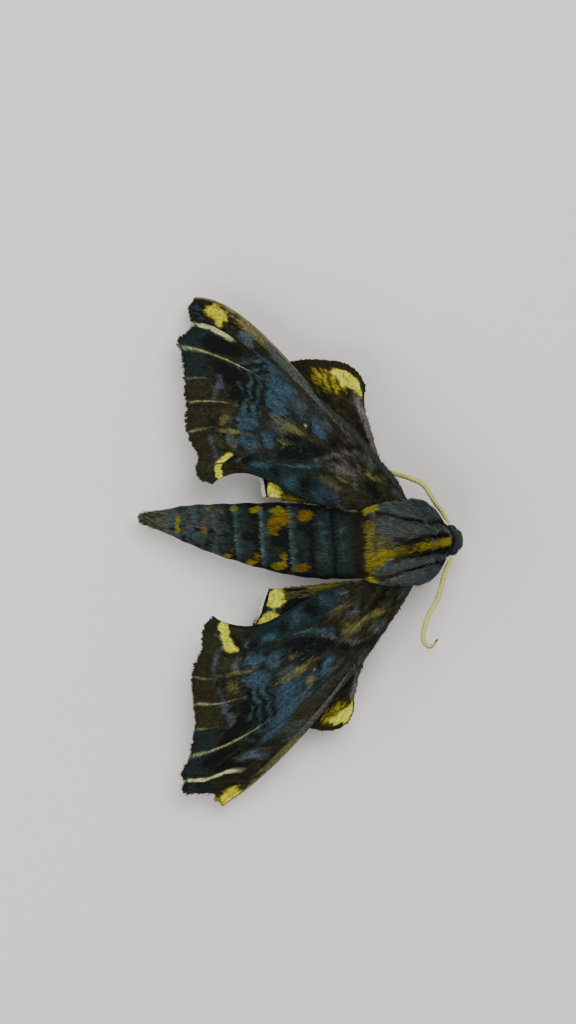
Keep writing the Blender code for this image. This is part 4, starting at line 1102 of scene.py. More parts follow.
# Forewing patches: wing, colour, vein number, share, half spans, lean with the vein number, amount
FORE_PATCHES = (
    ("both", "grey", 0.6, 0.02, 1.2, 0.03, 0.0, 0.8),
    ("both", "olive", 1.2, 0.085, 1.6, 0.012, 0.0, 0.9),
    ("both", "grey", 1.2, 0.15, 1.2, 0.03, 0.0, 0.75),
    ("both", "khaki", 2.7, 0.115, 0.9, 0.02, 0.014, 0.9),
    ("left", "khaki", 3.3, 0.16, 0.8, 0.014, 0.018, 0.6),
    ("right", "gold", 3.2, 0.13, 0.7, 0.03, 0.014, 0.55),
    ("both", "black", 4.2, 0.08, 1.0, 0.038, 0.006, 1.0),
    ("both", "brown", 5.6, 0.08, 0.6, 0.04, 0.0, 0.6),
    ("both", "black", 1.45, 0.222, 0.95, 0.017, 0.014, 1.0),
    ("both", "brown", 1.6, 0.275, 0.95, 0.032, 0.012, 0.95),
    ("both", "black", 3.0, 0.275, 0.75, 0.016, 0.02, 0.9),
    ("left", "lilac", 4.8, 0.205, 1.1, 0.062, 0.02, 0.75),
    ("right", "khaki", 4.3, 0.215, 0.95, 0.055, 0.03, 0.8),
    ("left", "khaki", 5.6, 0.19, 0.7, 0.06, 0.0, 0.45),
    ("right", "lilac", 5.6, 0.19, 0.6, 0.05, 0.0, 0.55),
    ("both", "khaki", 6.75, 0.23, 0.4, 0.11, 0.0, 0.6),
    ("both", "brown", 1.35, 0.48, 0.65, 0.09, 0.0, 0.8),
    ("both", "grey", 2.2, 0.34, 0.6, 0.045, 0.0, 0.6),
    ("both", "slate_blue", 3.15, 0.362, 0.85, 0.042, 0.004, 1.0),
    ("both", "grey", 2.6, 0.455, 0.85, 0.035, 0.004, 0.7),
    ("right", "khaki", 3.05, 0.447, 0.45, 0.02, 0.02, 0.85),
    ("left", "slate_blue", 3.3, 0.455, 0.5, 0.03, 0.0, 0.6),
    ("both", "slate_blue", 2.5, 0.54, 0.85, 0.07, 0.0, 0.95),
    ("both", "slate_blue", 3.75, 0.56, 0.75, 0.045, 0.01, 1.0),
    ("left", "teal", 3.4, 0.59, 0.9, 0.03, 0.01, 0.7),
    ("right", "slate_blue", 1.55, 0.585, 0.42, 0.065, 0.02, 1.0),
    ("right", "violet", 1.3, 0.71, 0.4, 0.045, 0.04, 0.8),
    ("left", "slate_blue", 1.85, 0.62, 0.35, 0.075, 0.02, 0.8),
    ("left", "violet", 1.1, 0.72, 0.6, 0.045, 0.04, 0.95),
    ("both", "grey", 0.7, 0.56, 0.6, 0.11, 0.0, 0.6),
    ("both", "khaki", 0.45, 0.68, 0.5, 0.13, 0.0, 0.7),
    ("left", "tan", 0.3, 0.74, 0.4, 0.13, 0.0, 0.55), ("right", "tan", 0.3, 0.78, 0.4, 0.08, 0.0, 0.35),
    ("both", "brown", 4.2, 0.42, 0.42, 0.11, 0.03, 0.85),
    ("both", "khaki", 4.6, 0.51, 0.5, 0.09, 0.025, 0.75),
    ("both", "grey", 4.95, 0.54, 0.55, 0.06, 0.02, 0.65),
    ("both", "black", 5.2, 0.46, 0.5, 0.045, 0.02, 0.75),
    ("both", "khaki", 5.6, 0.48, 0.3, 0.06, 0.03, 0.5),
    ("both", "slate_blue", 5.9, 0.582, 0.5, 0.045, 0.005, 0.95),
    ("both", "dark_teal", 6.3, 0.48, 0.45, 0.06, 0.0, 0.8),
    ("both", "teal", 4.8, 0.69, 0.55, 0.055, 0.02, 0.75),
    ("both", "slate_blue", 5.4, 0.69, 0.46, 0.06, 0.02, 0.95),
    ("both", "slate_blue", 6.35, 0.69, 0.5, 0.07, 0.0, 0.85),
    ("both", "grey", 6.4, 0.78, 0.5, 0.035, 0.0, 0.8),
    ("both", "brown", 5.0, 0.8, 0.6, 0.045, 0.0, 0.75),
    ("both", "khaki", 5.45, 0.8, 0.35, 0.035, 0.0, 0.6),
    ("both", "khaki", 5.95, 0.76, 0.1, 0.1, 0.0, 0.8),
    ("both", "olive", 6.45, 0.85, 0.42, 0.034, 0.0, 0.8),
    ("both", "slate_blue", 7.9, 0.25, 0.85, 0.05, 0.0, 0.75),
    ("both", "black", 7.8, 0.345, 0.8, 0.04, 0.0, 0.9),
    ("both", "teal", 8.0, 0.44, 0.8, 0.055, 0.0, 0.6),
    ("both", "black", 7.6, 0.53, 0.5, 0.035, 0.0, 0.8),
    ("both", "teal", 7.4, 0.62, 0.35, 0.06, 0.04, 0.75),
    ("both", "dark_teal", 8.2, 0.62, 0.6, 0.06, 0.0, 0.8),
    ("both", "black", 7.35, 0.7, 0.35, 0.035, 0.0, 0.9),
    ("both", "slate_blue", 7.35, 0.755, 0.3, 0.018, 0.03, 0.8),
    ("both", "grey", 7.6, 0.91, 0.5, 0.036, 0.05, 0.8),
    ("both", "olive", 8.5, 0.85, 0.35, 0.05, 0.0, 0.6),
    ("both", "brown", 3.3, 0.93, 0.9, 0.04, 0.0, 0.4),
    ("both", "brown", 5.3, 0.94, 1.1, 0.04, 0.0, 0.6),
)
# Jet black patches: wing, vein number, share, half spans, lean
FORE_BLACK = (
    ("both", 2.32, 0.855, 0.3, 0.062, 0.02), ("both", 2.25, 0.775, 0.22, 0.03, 0.04),
    ("both", 3.4, 0.805, 0.4, 0.05, -0.015), ("both", 3.2, 0.745, 0.24, 0.028, 0.03),
    ("both", 4.2, 0.765, 0.42, 0.028, 0.01), ("both", 7.2, 0.705, 0.2, 0.03, 0.05),
    ("both", 7.35, 0.797, 0.3, 0.015, 0.03), ("right", 1.5, 0.8, 0.42, 0.038, 0.07),
    ("right", 2.95, 0.825, 0.14, 0.045, 0.0),
)
# Lines across the forewing: wing, colour, half width, amount, then vein number and share
FORE_LINES = (
    ("both", "lilac", 0.008, 0.75, ((0.0, 0.168), (1.4, 0.172))),
    ("both", "lilac", 0.007, 0.65, ((0.0, 0.236), (1.6, 0.238))),
    (
        "left", "lilac", 0.014, 0.90,
        ((1.4, 0.195), (2.3, 0.217), (2.9, 0.225), (3.75, 0.25), (4.4, 0.275), (5.3, 0.31), (5.9, 0.333)),
    ),
    (
        "right", "lilac", 0.013, 0.85,
        ((1.9, 0.215), (2.9, 0.24), (3.5, 0.26), (4.2, 0.285), (5.2, 0.31), (5.9, 0.338)),
    ),
    ("left", "lilac", 0.017, 0.80, ((4.2, 0.178), (5.2, 0.150), (6.3, 0.115))),
    ("right", "lilac", 0.020, 0.80, ((5.0, 0.180), (5.8, 0.155), (6.7, 0.130))),
    (
        "both", "slate_blue", 0.026, 0.85,
        ((5.2, 0.285), (5.9, 0.315), (6.25, 0.345), (6.6, 0.4), (6.95, 0.5)),
    ),
    ("both", "teal", 0.012, 0.80, ((6.2, 0.330), (6.6, 0.405), (6.9, 0.480), (7.08, 0.600), (7.12, 0.660))),
    ("left", "violet", 0.017, 0.90, ((7.05, 0.205), (8.05, 0.165), (9.0, 0.110))),
    ("right", "violet", 0.022, 0.90, ((7.3, 0.200), (8.05, 0.175), (8.7, 0.160))),
    ("both", "grey", 0.015, 0.50, ((3.0, 0.500), (4.2, 0.505), (5.2, 0.520))),
)
# Grey crescents near the edge, from vein to vein: vein number and share
CRESCENTS = (
    (3.5, 0.835), (3.75, 0.83), (4.0, 0.845), (4.5, 0.862), (5.2, 0.877), (5.8, 0.89), (6.6, 0.908),
    (7.2, 0.915),
)
# Two sides of the black wedge: vein number and share
WEDGE_INNER = (
    (4.0, 0.3), (4.6, 0.305), (5.0, 0.318), (5.5, 0.34), (6.0, 0.378), (6.4, 0.43), (6.8, 0.53),
    (9.0, 0.9),
)
WEDGE_OUTER = (
    (4.0, 0.31), (4.4, 0.37), (4.8, 0.395), (5.2, 0.41), (5.7, 0.47), (6.2, 0.51), (6.8, 0.56),
    (9.0, 0.6),
)
# Dark wavy lines in the blue: share at the third vein, rise a vein, first and last vein number, amount
WAVES = (
    (0.56, 0.03, 3.3, 4.8, 0.45), (0.612, 0.027, 2.4, 5.0, 0.8), (0.656, 0.027, 2.0, 5.1, 0.9),
    (0.702, 0.024, 1.8, 5.0, 0.9),
)
# Clumps near a forewing's root: colour, strength, amount, the noise's range, scales and seed, grain, softness
ROOT_CLUMPS = (
    ("black", 1.3, 0.9, 0.05, 0.45, 2.1, 26.0, 27, 4, 0.3),
    ("khaki", 0.62, 0.45, 0.0, 0.5, 2.6, 30.0, 29, 1, 0.5),
    ("lilac", 0.8, 0.35, 0.1, 0.5, 2.0, 26.0, 31, 3, 0.5),
)
# Cream streak near each forewing's tip: share and vein number, then share and half width
TIP_LEFT = ((0.76, 1.80), (0.84, 1.56), (0.90, 1.50), (0.95, 1.58), (1.0, 1.80))
TIP_RIGHT = ((0.76, 1.13), (0.83, 1.28), (0.90, 1.52), (0.95, 1.78), (1.0, 1.97))
TIP_RIGHT_WIDTH = ((0.76, 0.09), (0.84, 0.13), (0.92, 0.10), (1.0, 0.07))
# Lines across the undersides: share, colour, amount
UNDER_LINES = ((0.60, "brown", 0.7), (0.64, "lilac", 0.6), (0.70, "brown", 0.7), (0.76, "khaki", 0.4))
# Pale vein streaks: vein number at the two ends, shares at the two ends, half width, amount
FORE_STREAKS = (
    (2.56, 2.96, 0.6, 1.02, 0.055, 0.95), (3.8, 3.95, 0.86, 1.02, 0.03, 0.75),
    (4.78, 4.97, 0.74, 1.02, 0.04, 0.85), (5.88, 5.92, 0.84, 1.02, 0.032, 0.75),
)


def scale_grain(place, share, seed):
    """Flecks of about one size all over the fanned wing, longer along the veins."""
    out = smooth(0.25, 0.75, share)
    near = mottle(place * 4.5, share * 44.0, seed)
    far = mottle(place * 9.0, share * 44.0, seed + 2)
    tiny = noise(place * (9.0 + 12.0 * out), share * 150.0, seed + 4)
    return np.clip(1.5 * (near * (1.0 - out) + far * out) + 0.35 * tiny, -1.0, 1.0)


def on_wing(side, wing):
    return side == "both" or wing.endswith(side)


def across_line(t, s, table, width):
    """Closeness to a line across the wing, from its first row to its last."""
    first, last = table[0][0], table[-1][0]
    return band(t, s, table, width) * between(t, first, last, 0.12)


def forewing_marks(wing, place, share):
    """Colour of a forewing's upper side by vein number and share."""
    chips = colours()
    left = wing.endswith("left")
    seed = 50 if left else 70
    streak = mottle(place * 7.0, share * 22.0, seed)
    grains = [scale_grain(place, share, seed + 10 * k) for k in range(1, 6)]
    tone = 1.0 + 0.35 * grains[0] + 0.20 * noise(place * 30.0, share * 140.0, seed + 5)
    t = place + 0.08 * mottle(place * 2.5, share * 14.0, seed + 7)
    s = share + 0.007 * mottle(place * 3.0, share * 16.0, seed + 9)
    warm = 0.5 + 0.5 * mottle(place * 1.7, share * 9.0, seed + 11)
    shade = scatter(chips["black"] * 1.5, chips["brown"], 0.15 + 0.5 * warm, grains[1], 0.3)
    shade = scatter(shade, chips["olive"], 0.34, grains[2], 0.3)
    # Dark teal over the middle band of the forewing: the scales' own teal together with a painted bluish
    # sheen
    blue = between(s, 0.30, 0.76, 0.06) * between(t, 1.9, 7.1, 0.35)
    shade = scatter(shade, chips["dark_teal"], 0.45 * blue, grains[3], 0.3)
    inner = (1.0 - smooth(0.23, 0.31, s)) * smooth(0.4, 0.9, t)
    hairs = 0.5 + 0.5 * mottle(place * 9.0 + share * 16.0, share * 40.0, seed + 13)
    shade = lay(shade, chips["olive"] * 1.1, 0.5 * inner * hairs)
    for chip, strength, amount, low, high, across, along, shift, grain, soft in ROOT_CLUMPS:
        clump = smooth(low, high, mottle(place * across, share * along, seed + shift))
        shade = scatter(shade, chips[chip] * strength, amount * inner * clump, grains[grain], soft)
    margin = between(t, 6.9, 9.2, 0.25) * between(s, 0.17, 0.72, 0.05)
    shade = scatter(shade, chips["dark_teal"] * 1.15, 0.75 * margin, grains[2], 0.4)
    # Slate blue over the middle of the forewing: the scales' own blue together with a painted bluish sheen
    centre = between(t, 1.2, 4.5, 0.35) * between(s, 0.34, 0.66, 0.05)
    centre_blue = (0.38 if left else 0.60) * centre
    shade = scatter(shade, chips["slate_blue"] * 0.62, centre_blue, grains[1], 0.5)
    dark = smooth(0.05, 0.5, mottle(place * 2.3, share * 15.0, seed + 45))
    shade = scatter(shade, chips["black"] * 1.5, 0.6 * dark * centre, grains[4], 0.4)
    front = between(t, 0.9, 2.2, 0.3) * between(s, 0.25, 0.60, 0.05)
    shade = scatter(shade, chips["grey"] * 0.60, 0.45 * front, grains[3], 0.5)
    for number, (side, chip, centre_t, centre_s, half_t, half_s, lean, amount) in enumerate(FORE_PATCHES):
        if on_wing(side, wing):
            wander = mottle(place * 1.6 + number, share * 13.0, seed + 40)
            off = s - centre_s - lean * (t - centre_t) - 0.016 * wander
            away = oval(t, off, centre_t, 0.0, half_t, half_s)
            cover = 0.92 * amount * (1.0 - smooth(0.20, 1.65, away + 0.32 * streak))
            shade = scatter(shade, chips[chip] * tone[:, None], cover, grains[number % 5], 0.36)
    costal = between(t, 0.12, 1.05 if left else 0.85, 0.10) * between(s, 0.23, 0.62 if left else 0.58, 0.05)
    shine = 1.0 + 0.25 * mottle(place * 14.0, share * 9.0, seed + 25)
    shade = scatter(shade, chips["grey"] * 1.10 * shine[:, None], 0.85 * costal, grains[2], 0.45)
    for number, (side, chip, half, amount, table) in enumerate(FORE_LINES):
        if on_wing(side, wing):
            broken = 0.72 + 0.28 * mottle(place * 2.6, share * 20.0, seed + 33 + number)
            cover = 0.9 * amount * broken * across_line(t, s - 0.006 * streak, table, 1.45 * half)
            shade = scatter(shade, chips[chip] * 1.1 * tone[:, None], cover, grains[(number + 2) % 5], 0.45)
    for number, (wave_s, rise, first, last, amount) in enumerate(WAVES):
        bow = 0.022 * noise(t * 1.5 + 0.35 * number, np.full(len(t), 0.5), seed + 19)
        bow += 0.012 * np.abs(np.sin(np.pi * t)) - 0.008
        off = s - wave_s - rise * (t - 3.0) - bow - 0.004 * streak
        reach = amount * between(t, first, last, 0.25)
        light = peak(off - 0.023, 0.014) * reach
        dark = peak(off, 0.012) * reach
        shade = scatter(shade, chips["teal"] * tone[:, None], 0.55 * light, grains[number % 5], 0.5)
        shade = scatter(shade, chips["black"] * 1.3, 0.85 * dark, grains[(number + 1) % 5], 0.5)
    low, high = line_through(t, WEDGE_INNER), line_through(t, WEDGE_OUTER)
    wedge = smooth(-0.006, 0.008, s - low) * smooth(-0.04, 0.04, high - s + 0.02 * streak)
    shade = scatter(shade, chips["black"] * 1.2, wedge * between(t, 4.4, 6.75, 0.25), grains[1])
    discal = peak(s - 0.404 - 0.004 * (t - 3.5), 0.0085) * between(t, 3.0, 4.15, 0.12)
    shade = lay(shade, chips["black"] * 1.2, 0.95 * discal)
    spot = np.exp(-(((t - 3.70) / 0.16) ** 2) - ((s - 0.424) / 0.008) ** 2)
    shade = scatter(shade, chips["cream"] * 0.8, (0.9 if left else 0.45) * spot, grains[3], 0.3)
    shade = scatter(shade, chips["black"] * 1.5, 0.22, grains[4], 0.3)
    rim = smooth(0.875, 0.91, s + 0.006 * streak) * smooth(1.6, 1.9, t)
    teal = between(t, 1.9, 3.9, 0.15) * 0.7
    edge_tone = scatter(chips["olive"] * 0.75, chips["dark_teal"], teal, grains[2], 0.3)
    edge_tone = scatter(edge_tone, chips["brown"] * 0.9, between(t, 4.6, 7.0, 0.25) * 0.6, grains[4], 0.3)
    edge_tone = scatter(edge_tone, chips["black"] * 1.4, 0.35, grains[0], 0.3)
    shade = scatter(shade, edge_tone, rim * (1.0 - 0.5 * smooth(7.4, 8.0, t)), grains[3])
    for side, centre_t, centre_s, half_t, half_s, lean in FORE_BLACK:
        if on_wing(side, wing):
            off = s - centre_s - lean * (t - centre_t)
            away = np.sqrt(((t - centre_t) / half_t) ** 4 + (off / half_s) ** 2)
            cover = 1.0 - smooth(0.45, 1.60, away + 0.25 * streak)
            shade = scatter(shade, chips["black"], cover, grains[1], 0.3)
    crescent = across_line(t, s - 0.012 * mottle(place * 2.2, share * 9.0, seed + 35), CRESCENTS, 0.026)
    crescent *= 0.70 + 0.30 * mottle(place * 3.0, share * 18.0, seed + 37)
    crescent *= 1.0 - (0.65 if left else 0.35) * between(t, 4.95, 6.15, 0.15)
    shade = scatter(shade, chips["violet"] * tone[:, None], 0.85 * crescent, grains[0], 0.45)
    for first_t, last_t, low_s, high_s, half, amount in FORE_STREAKS:
        part = np.clip((share - low_s) / (high_s - low_s), 0.0, 1.0)
        off = (place + 0.03 * streak - first_t - (last_t - first_t) * part) / (half * (0.55 + 0.45 * part))
        line = peak(off, 1.0) * smooth(low_s - 0.02, low_s + 0.16, share)
        shade = lay(shade, chips["cream"] * 0.85 * tone[:, None], amount * line * (0.75 + 0.25 * grains[2]))
    if left:
        cream = between(t, line_through(s, TIP_LEFT), 1.97, 0.06) * smooth(0.76, 0.86, s)
        tail = oval(t, s, 1.02, 0.862, 0.34, 0.022)
        yellow = np.minimum(oval(t, s, 0.66, 0.872, 0.38, 0.052), tail)
        dark_tip = between(t, 0.30, 1.50, 0.12) * smooth(0.925, 0.945, s)
        grey_tip = chips["grey"]
    else:
        cream = peak(t - line_through(s, TIP_RIGHT), line_through(s, TIP_RIGHT_WIDTH))
        cream *= smooth(0.765, 0.80, s)
        yellow = oval(t, s, 0.42, 0.945, 0.50, 0.056)
        dark_tip = between(t, 1.06, 1.70, 0.06) * smooth(0.885, 0.92, s)
        grey_tip = chips["slate_blue"] * 0.6
    shade = scatter(shade, chips["black"] * 1.6, dark_tip, grains[4])
    shade = scatter(shade, grey_tip * tone[:, None], 0.35 * dark_tip, grains[3], 0.3)
    shade = scatter(shade, chips["cream"] * 1.1 * tone[:, None], np.clip(cream, 0, 1), grains[2], 0.35)
    golden = chips["apex_yellow"] * tone[:, None]
    feather = flecks(place * 13.0, share * 34.0, seed + 23)
    shade = scatter(shade, golden, 1.0 - smooth(0.35, 1.65, yellow + 0.22 * streak), feather, 0.35)
    off = s - (0.838 + 0.060 * (t - 7.2))
    half = (0.026 if left else 0.033) - 0.004 * (t - 7.2)
    tornus = (1.0 - smooth(0.40, 1.60, np.abs(off) / half + 0.15 * streak)) * smooth(6.85, 7.10, t)
    gap = peak(t - 7.60, 0.07) * (0.9 if left else 0.3)
    shade = scatter(shade, chips["lemon"] * tone[:, None], 0.94 * tornus * (1.0 - gap), feather, 0.45)
    gold = smooth(0.55, 0.95, mottle(place * 26.0, share * 90.0, seed + 15))
    zone = between(t, 4.1, 6.2, 0.3) * between(s, 0.33, 0.90, 0.08) + 0.6 * inner
    vein = peak(place - np.round(place), 0.10) * between(s, 0.3, 0.97, 0.05)
    shade = lay(shade, chips["khaki"] * 1.5, 0.75 * gold * np.clip(zone + 0.5 * vein, 0.0, 1.0))
    # Fine bright teal specks over the middle: the scales' own teal flecks together with painted bluish glints
    speck = smooth(0.50, 0.85, mottle(place * 30.0, share * 110.0, seed + 17)) * between(s, 0.3, 0.75, 0.06)
    shade = lay(shade, chips["teal"] * 1.15, 0.45 * speck * between(t, 2.0, 7.5, 0.3))
    costa = 1.0 - smooth(0.06, 0.20, place)
    pale = 0.8 if left else 0.55
    return scatter(shade, chips["tan"] * tone[:, None], pale * costa * smooth(0.3, 0.6, s), grains[3], 0.5)


def hindwing_marks(wing, place, share):
    """Colour of a hindwing's upper side by vein number and share."""
    chips = colours()
    left = wing.endswith("left")
    seed = 81 if left else 131
    streak = mottle(place * 8.0, share * 14.0, seed)
    grains = [scale_grain(place * 1.3, share * 0.8, seed + 10 * k) for k in range(1, 5)]
    tone = 1.0 + 0.35 * grains[0]
    t = place + 0.05 * streak
    s = share + 0.010 * noise(place * 4.0, share * 10.0, 85)
    shade = scatter(chips["brown"] * 0.8, chips["gold"] * 0.55, 0.30, grains[1], 0.3)
    shade = scatter(shade, chips["black"] * 1.6, 0.50, grains[2], 0.3)
    last = 1.45 if left else 1.10
    lilac = (1.0 - smooth(last - 0.6, last, t)) * between(s, 0.30, 0.78 if left else 0.84, 0.06)
    hairs = mottle(place * 9.0 + share * 30.0, share * 7.0, 87)
    shade = scatter(shade, chips["lilac"] * 1.35 * tone[:, None], 0.72 * lilac, hairs, 0.25)
    pale_t, pale_s = (0.75, 0.66) if left else (0.50, 0.72)
    pale = np.exp(-(((t - pale_t) / 0.45) ** 2) - ((s - pale_s) / 0.065) ** 2)
    shade = scatter(shade, chips["lilac"] * 1.9, pale, grains[3], 0.3)
    middle = between(t, 2.0, 6.6, 0.3) * between(s, 0.2, 0.9, 0.1)
    shade = scatter(shade, chips["gold"] * 0.70, 0.25 * middle, grains[1], 0.3)
    if left:
        lobe = oval(t, s, 0.84, 0.875, 0.58, 0.085)
        second = oval(t, s, 1.65, 0.85, 0.62, 0.12)
        rim = smooth(0.925, 0.955, s + 0.01 * streak) * between(t, 0.55, 2.4, 0.12)
        spots = ((7.72, 0.900, 0.42, 0.085),)
        corner = between(t, 6.7, 7.3, 0.1) * smooth(0.86, 0.92, s)
        shade = scatter(shade, chips["brown"] * 1.6, corner, grains[0])
    else:
        lobe = oval(t, s, 0.60, 0.925, 0.60, 0.075)
        second = oval(t, s, 1.30, 0.89, 0.55, 0.12)
        rim = smooth(0.955, 0.975, s + 0.01 * streak) * between(t, 0.7, 2.4, 0.12)
        spots = ((6.60, 0.90, 0.42, 0.085), (7.62, 0.895, 0.42, 0.10))
    yellow = chips["lemon"] * tone[:, None]
    golden = chips["gold"] * 1.25 * tone[:, None]
    feather = flecks(place * 17.0, share * 26.0, seed + 23, contrast=1.7)
    fleck = np.clip(0.6 * feather + 0.6 * mottle(place * 34.0, share * 60.0, seed + 27), -1.0, 1.0)
    shade = scatter(shade, golden, 0.52 * (1.0 - smooth(0.3, 1.6, second)), fleck, 0.05)
    shade = scatter(shade, yellow, 1.0 - smooth(0.55, 1.50, lobe + 0.15 * streak), feather, 0.25)
    shade = scatter(shade, chips["brown"] * 0.7, 0.9 * rim, grains[1])
    anal = smooth(6.0, 6.6, t)
    ground = scatter(chips["dark_teal"] * 0.8, chips["teal"] * 0.8, 0.3, grains[3], 0.3)
    ground = scatter(ground, chips["black"], between(s, 0.58, 0.82, 0.04), grains[1])
    shade = lay(shade, ground, anal)
    for spot in spots:
        shade = scatter(shade, yellow, 1.0 - smooth(0.45, 1.5, oval(t, s, *spot)), feather, 0.25)
    margin = smooth(7.72, 7.92, t) * between(s, 0.10, 0.82 if left else 0.60, 0.08)
    shade = scatter(shade, chips["gold"] * 0.8 * tone[:, None], 0.9 * margin, grains[2], 0.3)
    black_edge = smooth(0.965, 0.980, s) * smooth(6.6, 7.0, t)
    return scatter(shade, chips["black"], 0.9 * black_edge, grains[3])


def underside_marks(wing, place, share):
    """Colour of a wing's underside: rust brown with wavy lines and a dark edge."""
    chips = colours()
    streak = mottle(place * 7.0, share * 14.0, 95)
    cell = place - np.floor(place)
    scallop = 0.018 * np.sin(np.pi * cell)
    shade = chips["underside"] * (1.0 + 0.25 * streak)[:, None]
    shade = lay(shade, chips["rust"], 0.6 * between(share, 0.15, 0.62, 0.15))
    for level, chip, strength in UNDER_LINES:
        shade = lay(shade, chips[chip], strength * peak(share - level - scallop, 0.011))
    shade = lay(shade, chips["olive"], 0.7 * smooth(0.84, 0.92, share + 0.02 * streak))
    shade = lay(shade, chips["khaki"], 0.35 * (1.0 - smooth(0.0, 0.25, share)))
    if wing.startswith("fore"):
        corner = (1.0 - smooth(0.5, 1.3, place)) * between(share, 0.8, 0.95, 0.04)
        shade = lay(shade, chips["lemon"] * 0.7, 0.6 * corner)
    return shade


def wing_marks(wing, place, share):
    """Colour of a wing's upper side."""
    marks = forewing_marks if wing.startswith("fore") else hindwing_marks
    return marks(wing, place, share)


class MOTH_OT_wings(bpy.types.Operator):
    """Build the four scaled wing sheets with their veins and markings"""

    bl_idname = "moth.wings"
    bl_label = "Wings"

    def execute(self, context):
        fore = scale_material("forewing_scale", 0.70, 0.50, (4600.0, 4600.0, 4600.0), sheen=0.0, bump=0.5)
        hind = scale_material("hindwing_scale", 0.72, 0.50, (4600.0, 4600.0, 4600.0), sheen=0.0, bump=0.5)
        for wing in WINGS:
            is_fore = wing.startswith("fore")
            self.sheet(context, wing, FORE_CELLS if is_fore else HIND_CELLS, fore if is_fore else hind)
        return {"FINISHED"}

    def sheet(self, context, wing, cells, material):
        deselect()
        bpy.ops.mesh.primitive_grid_add(x_subdivisions=cells[0], y_subdivisions=cells[1], size=2.0)
        obj = context.object
        start = get_points(obj.data)
        last = last_vein(wing)
        place = np.clip((start[:, 0] + 1.0) / 2.0, 0.0, 1.0) * last
        share = np.clip((start[:, 1] + 1.0) / 2.0, 0.0, 1.0)
        ragged = 0.5 + 0.5 * mottle(place * 11.0, np.full(len(place), 0.5), 99)
        points = wing_sheet(wing, place, share - 0.009 * ragged * smooth(0.93, 1.0, share))
        fade = 1.0 - smooth(0.90, 1.0, share)
        cell = place - np.floor(place)
        relief = sizes("vein_height") * peak(place - np.round(place), 0.085) * (0.35 + 0.65 * fade)
        relief -= 0.07 * np.sin(np.pi * cell) * share * fade
        relief += 0.03 * noise(place * 2.0, share * 9.0, 97)
        points[:, 2] += relief
        set_points(obj.data, points)
        if obj.data.polygons[0].normal.z < 0.0:
            obj.data.flip_normals()
        group = obj.vertex_groups.new(name="edge")
        thin = 1.0 - 0.6 * smooth(0.965, 1.0, share)
        for level in np.unique(np.round(thin, 2)):
            members = np.nonzero(np.round(thin, 2) == level)[0].tolist()
            group.add(members, float(level), "REPLACE")
        sheet = obj.modifiers.new("sheet", "SOLIDIFY")
        sheet.thickness = sizes("wing_thickness") * MM
        sheet.offset = 0.0
        sheet.vertex_group = group.name
        sheet.thickness_vertex_group = 0.05
        bpy.ops.object.modifier_apply(modifier=sheet.name)
        whole = get_points(obj.data) / MM
        half = len(points)
        above = wing_marks(wing, place, share)
        aside = np.minimum(place, last - place)
        rim = np.maximum(smooth(0.985, 0.995, share), 1.0 - smooth(0.0, 0.06, aside))
        below = lay(underside_marks(wing, place, share), above * 0.8, rim)
        first_is_top = whole[:half, 2].mean() > whole[half:, 2].mean()
        shades = np.concatenate([above, below] if first_is_top else [below, above])
        set_colour(obj.data, np.clip(shades, 0.0, 1.0))
        obj.data.shade_smooth()
        finish_piece(obj, f"{wing}_sheet", material, (wing,))


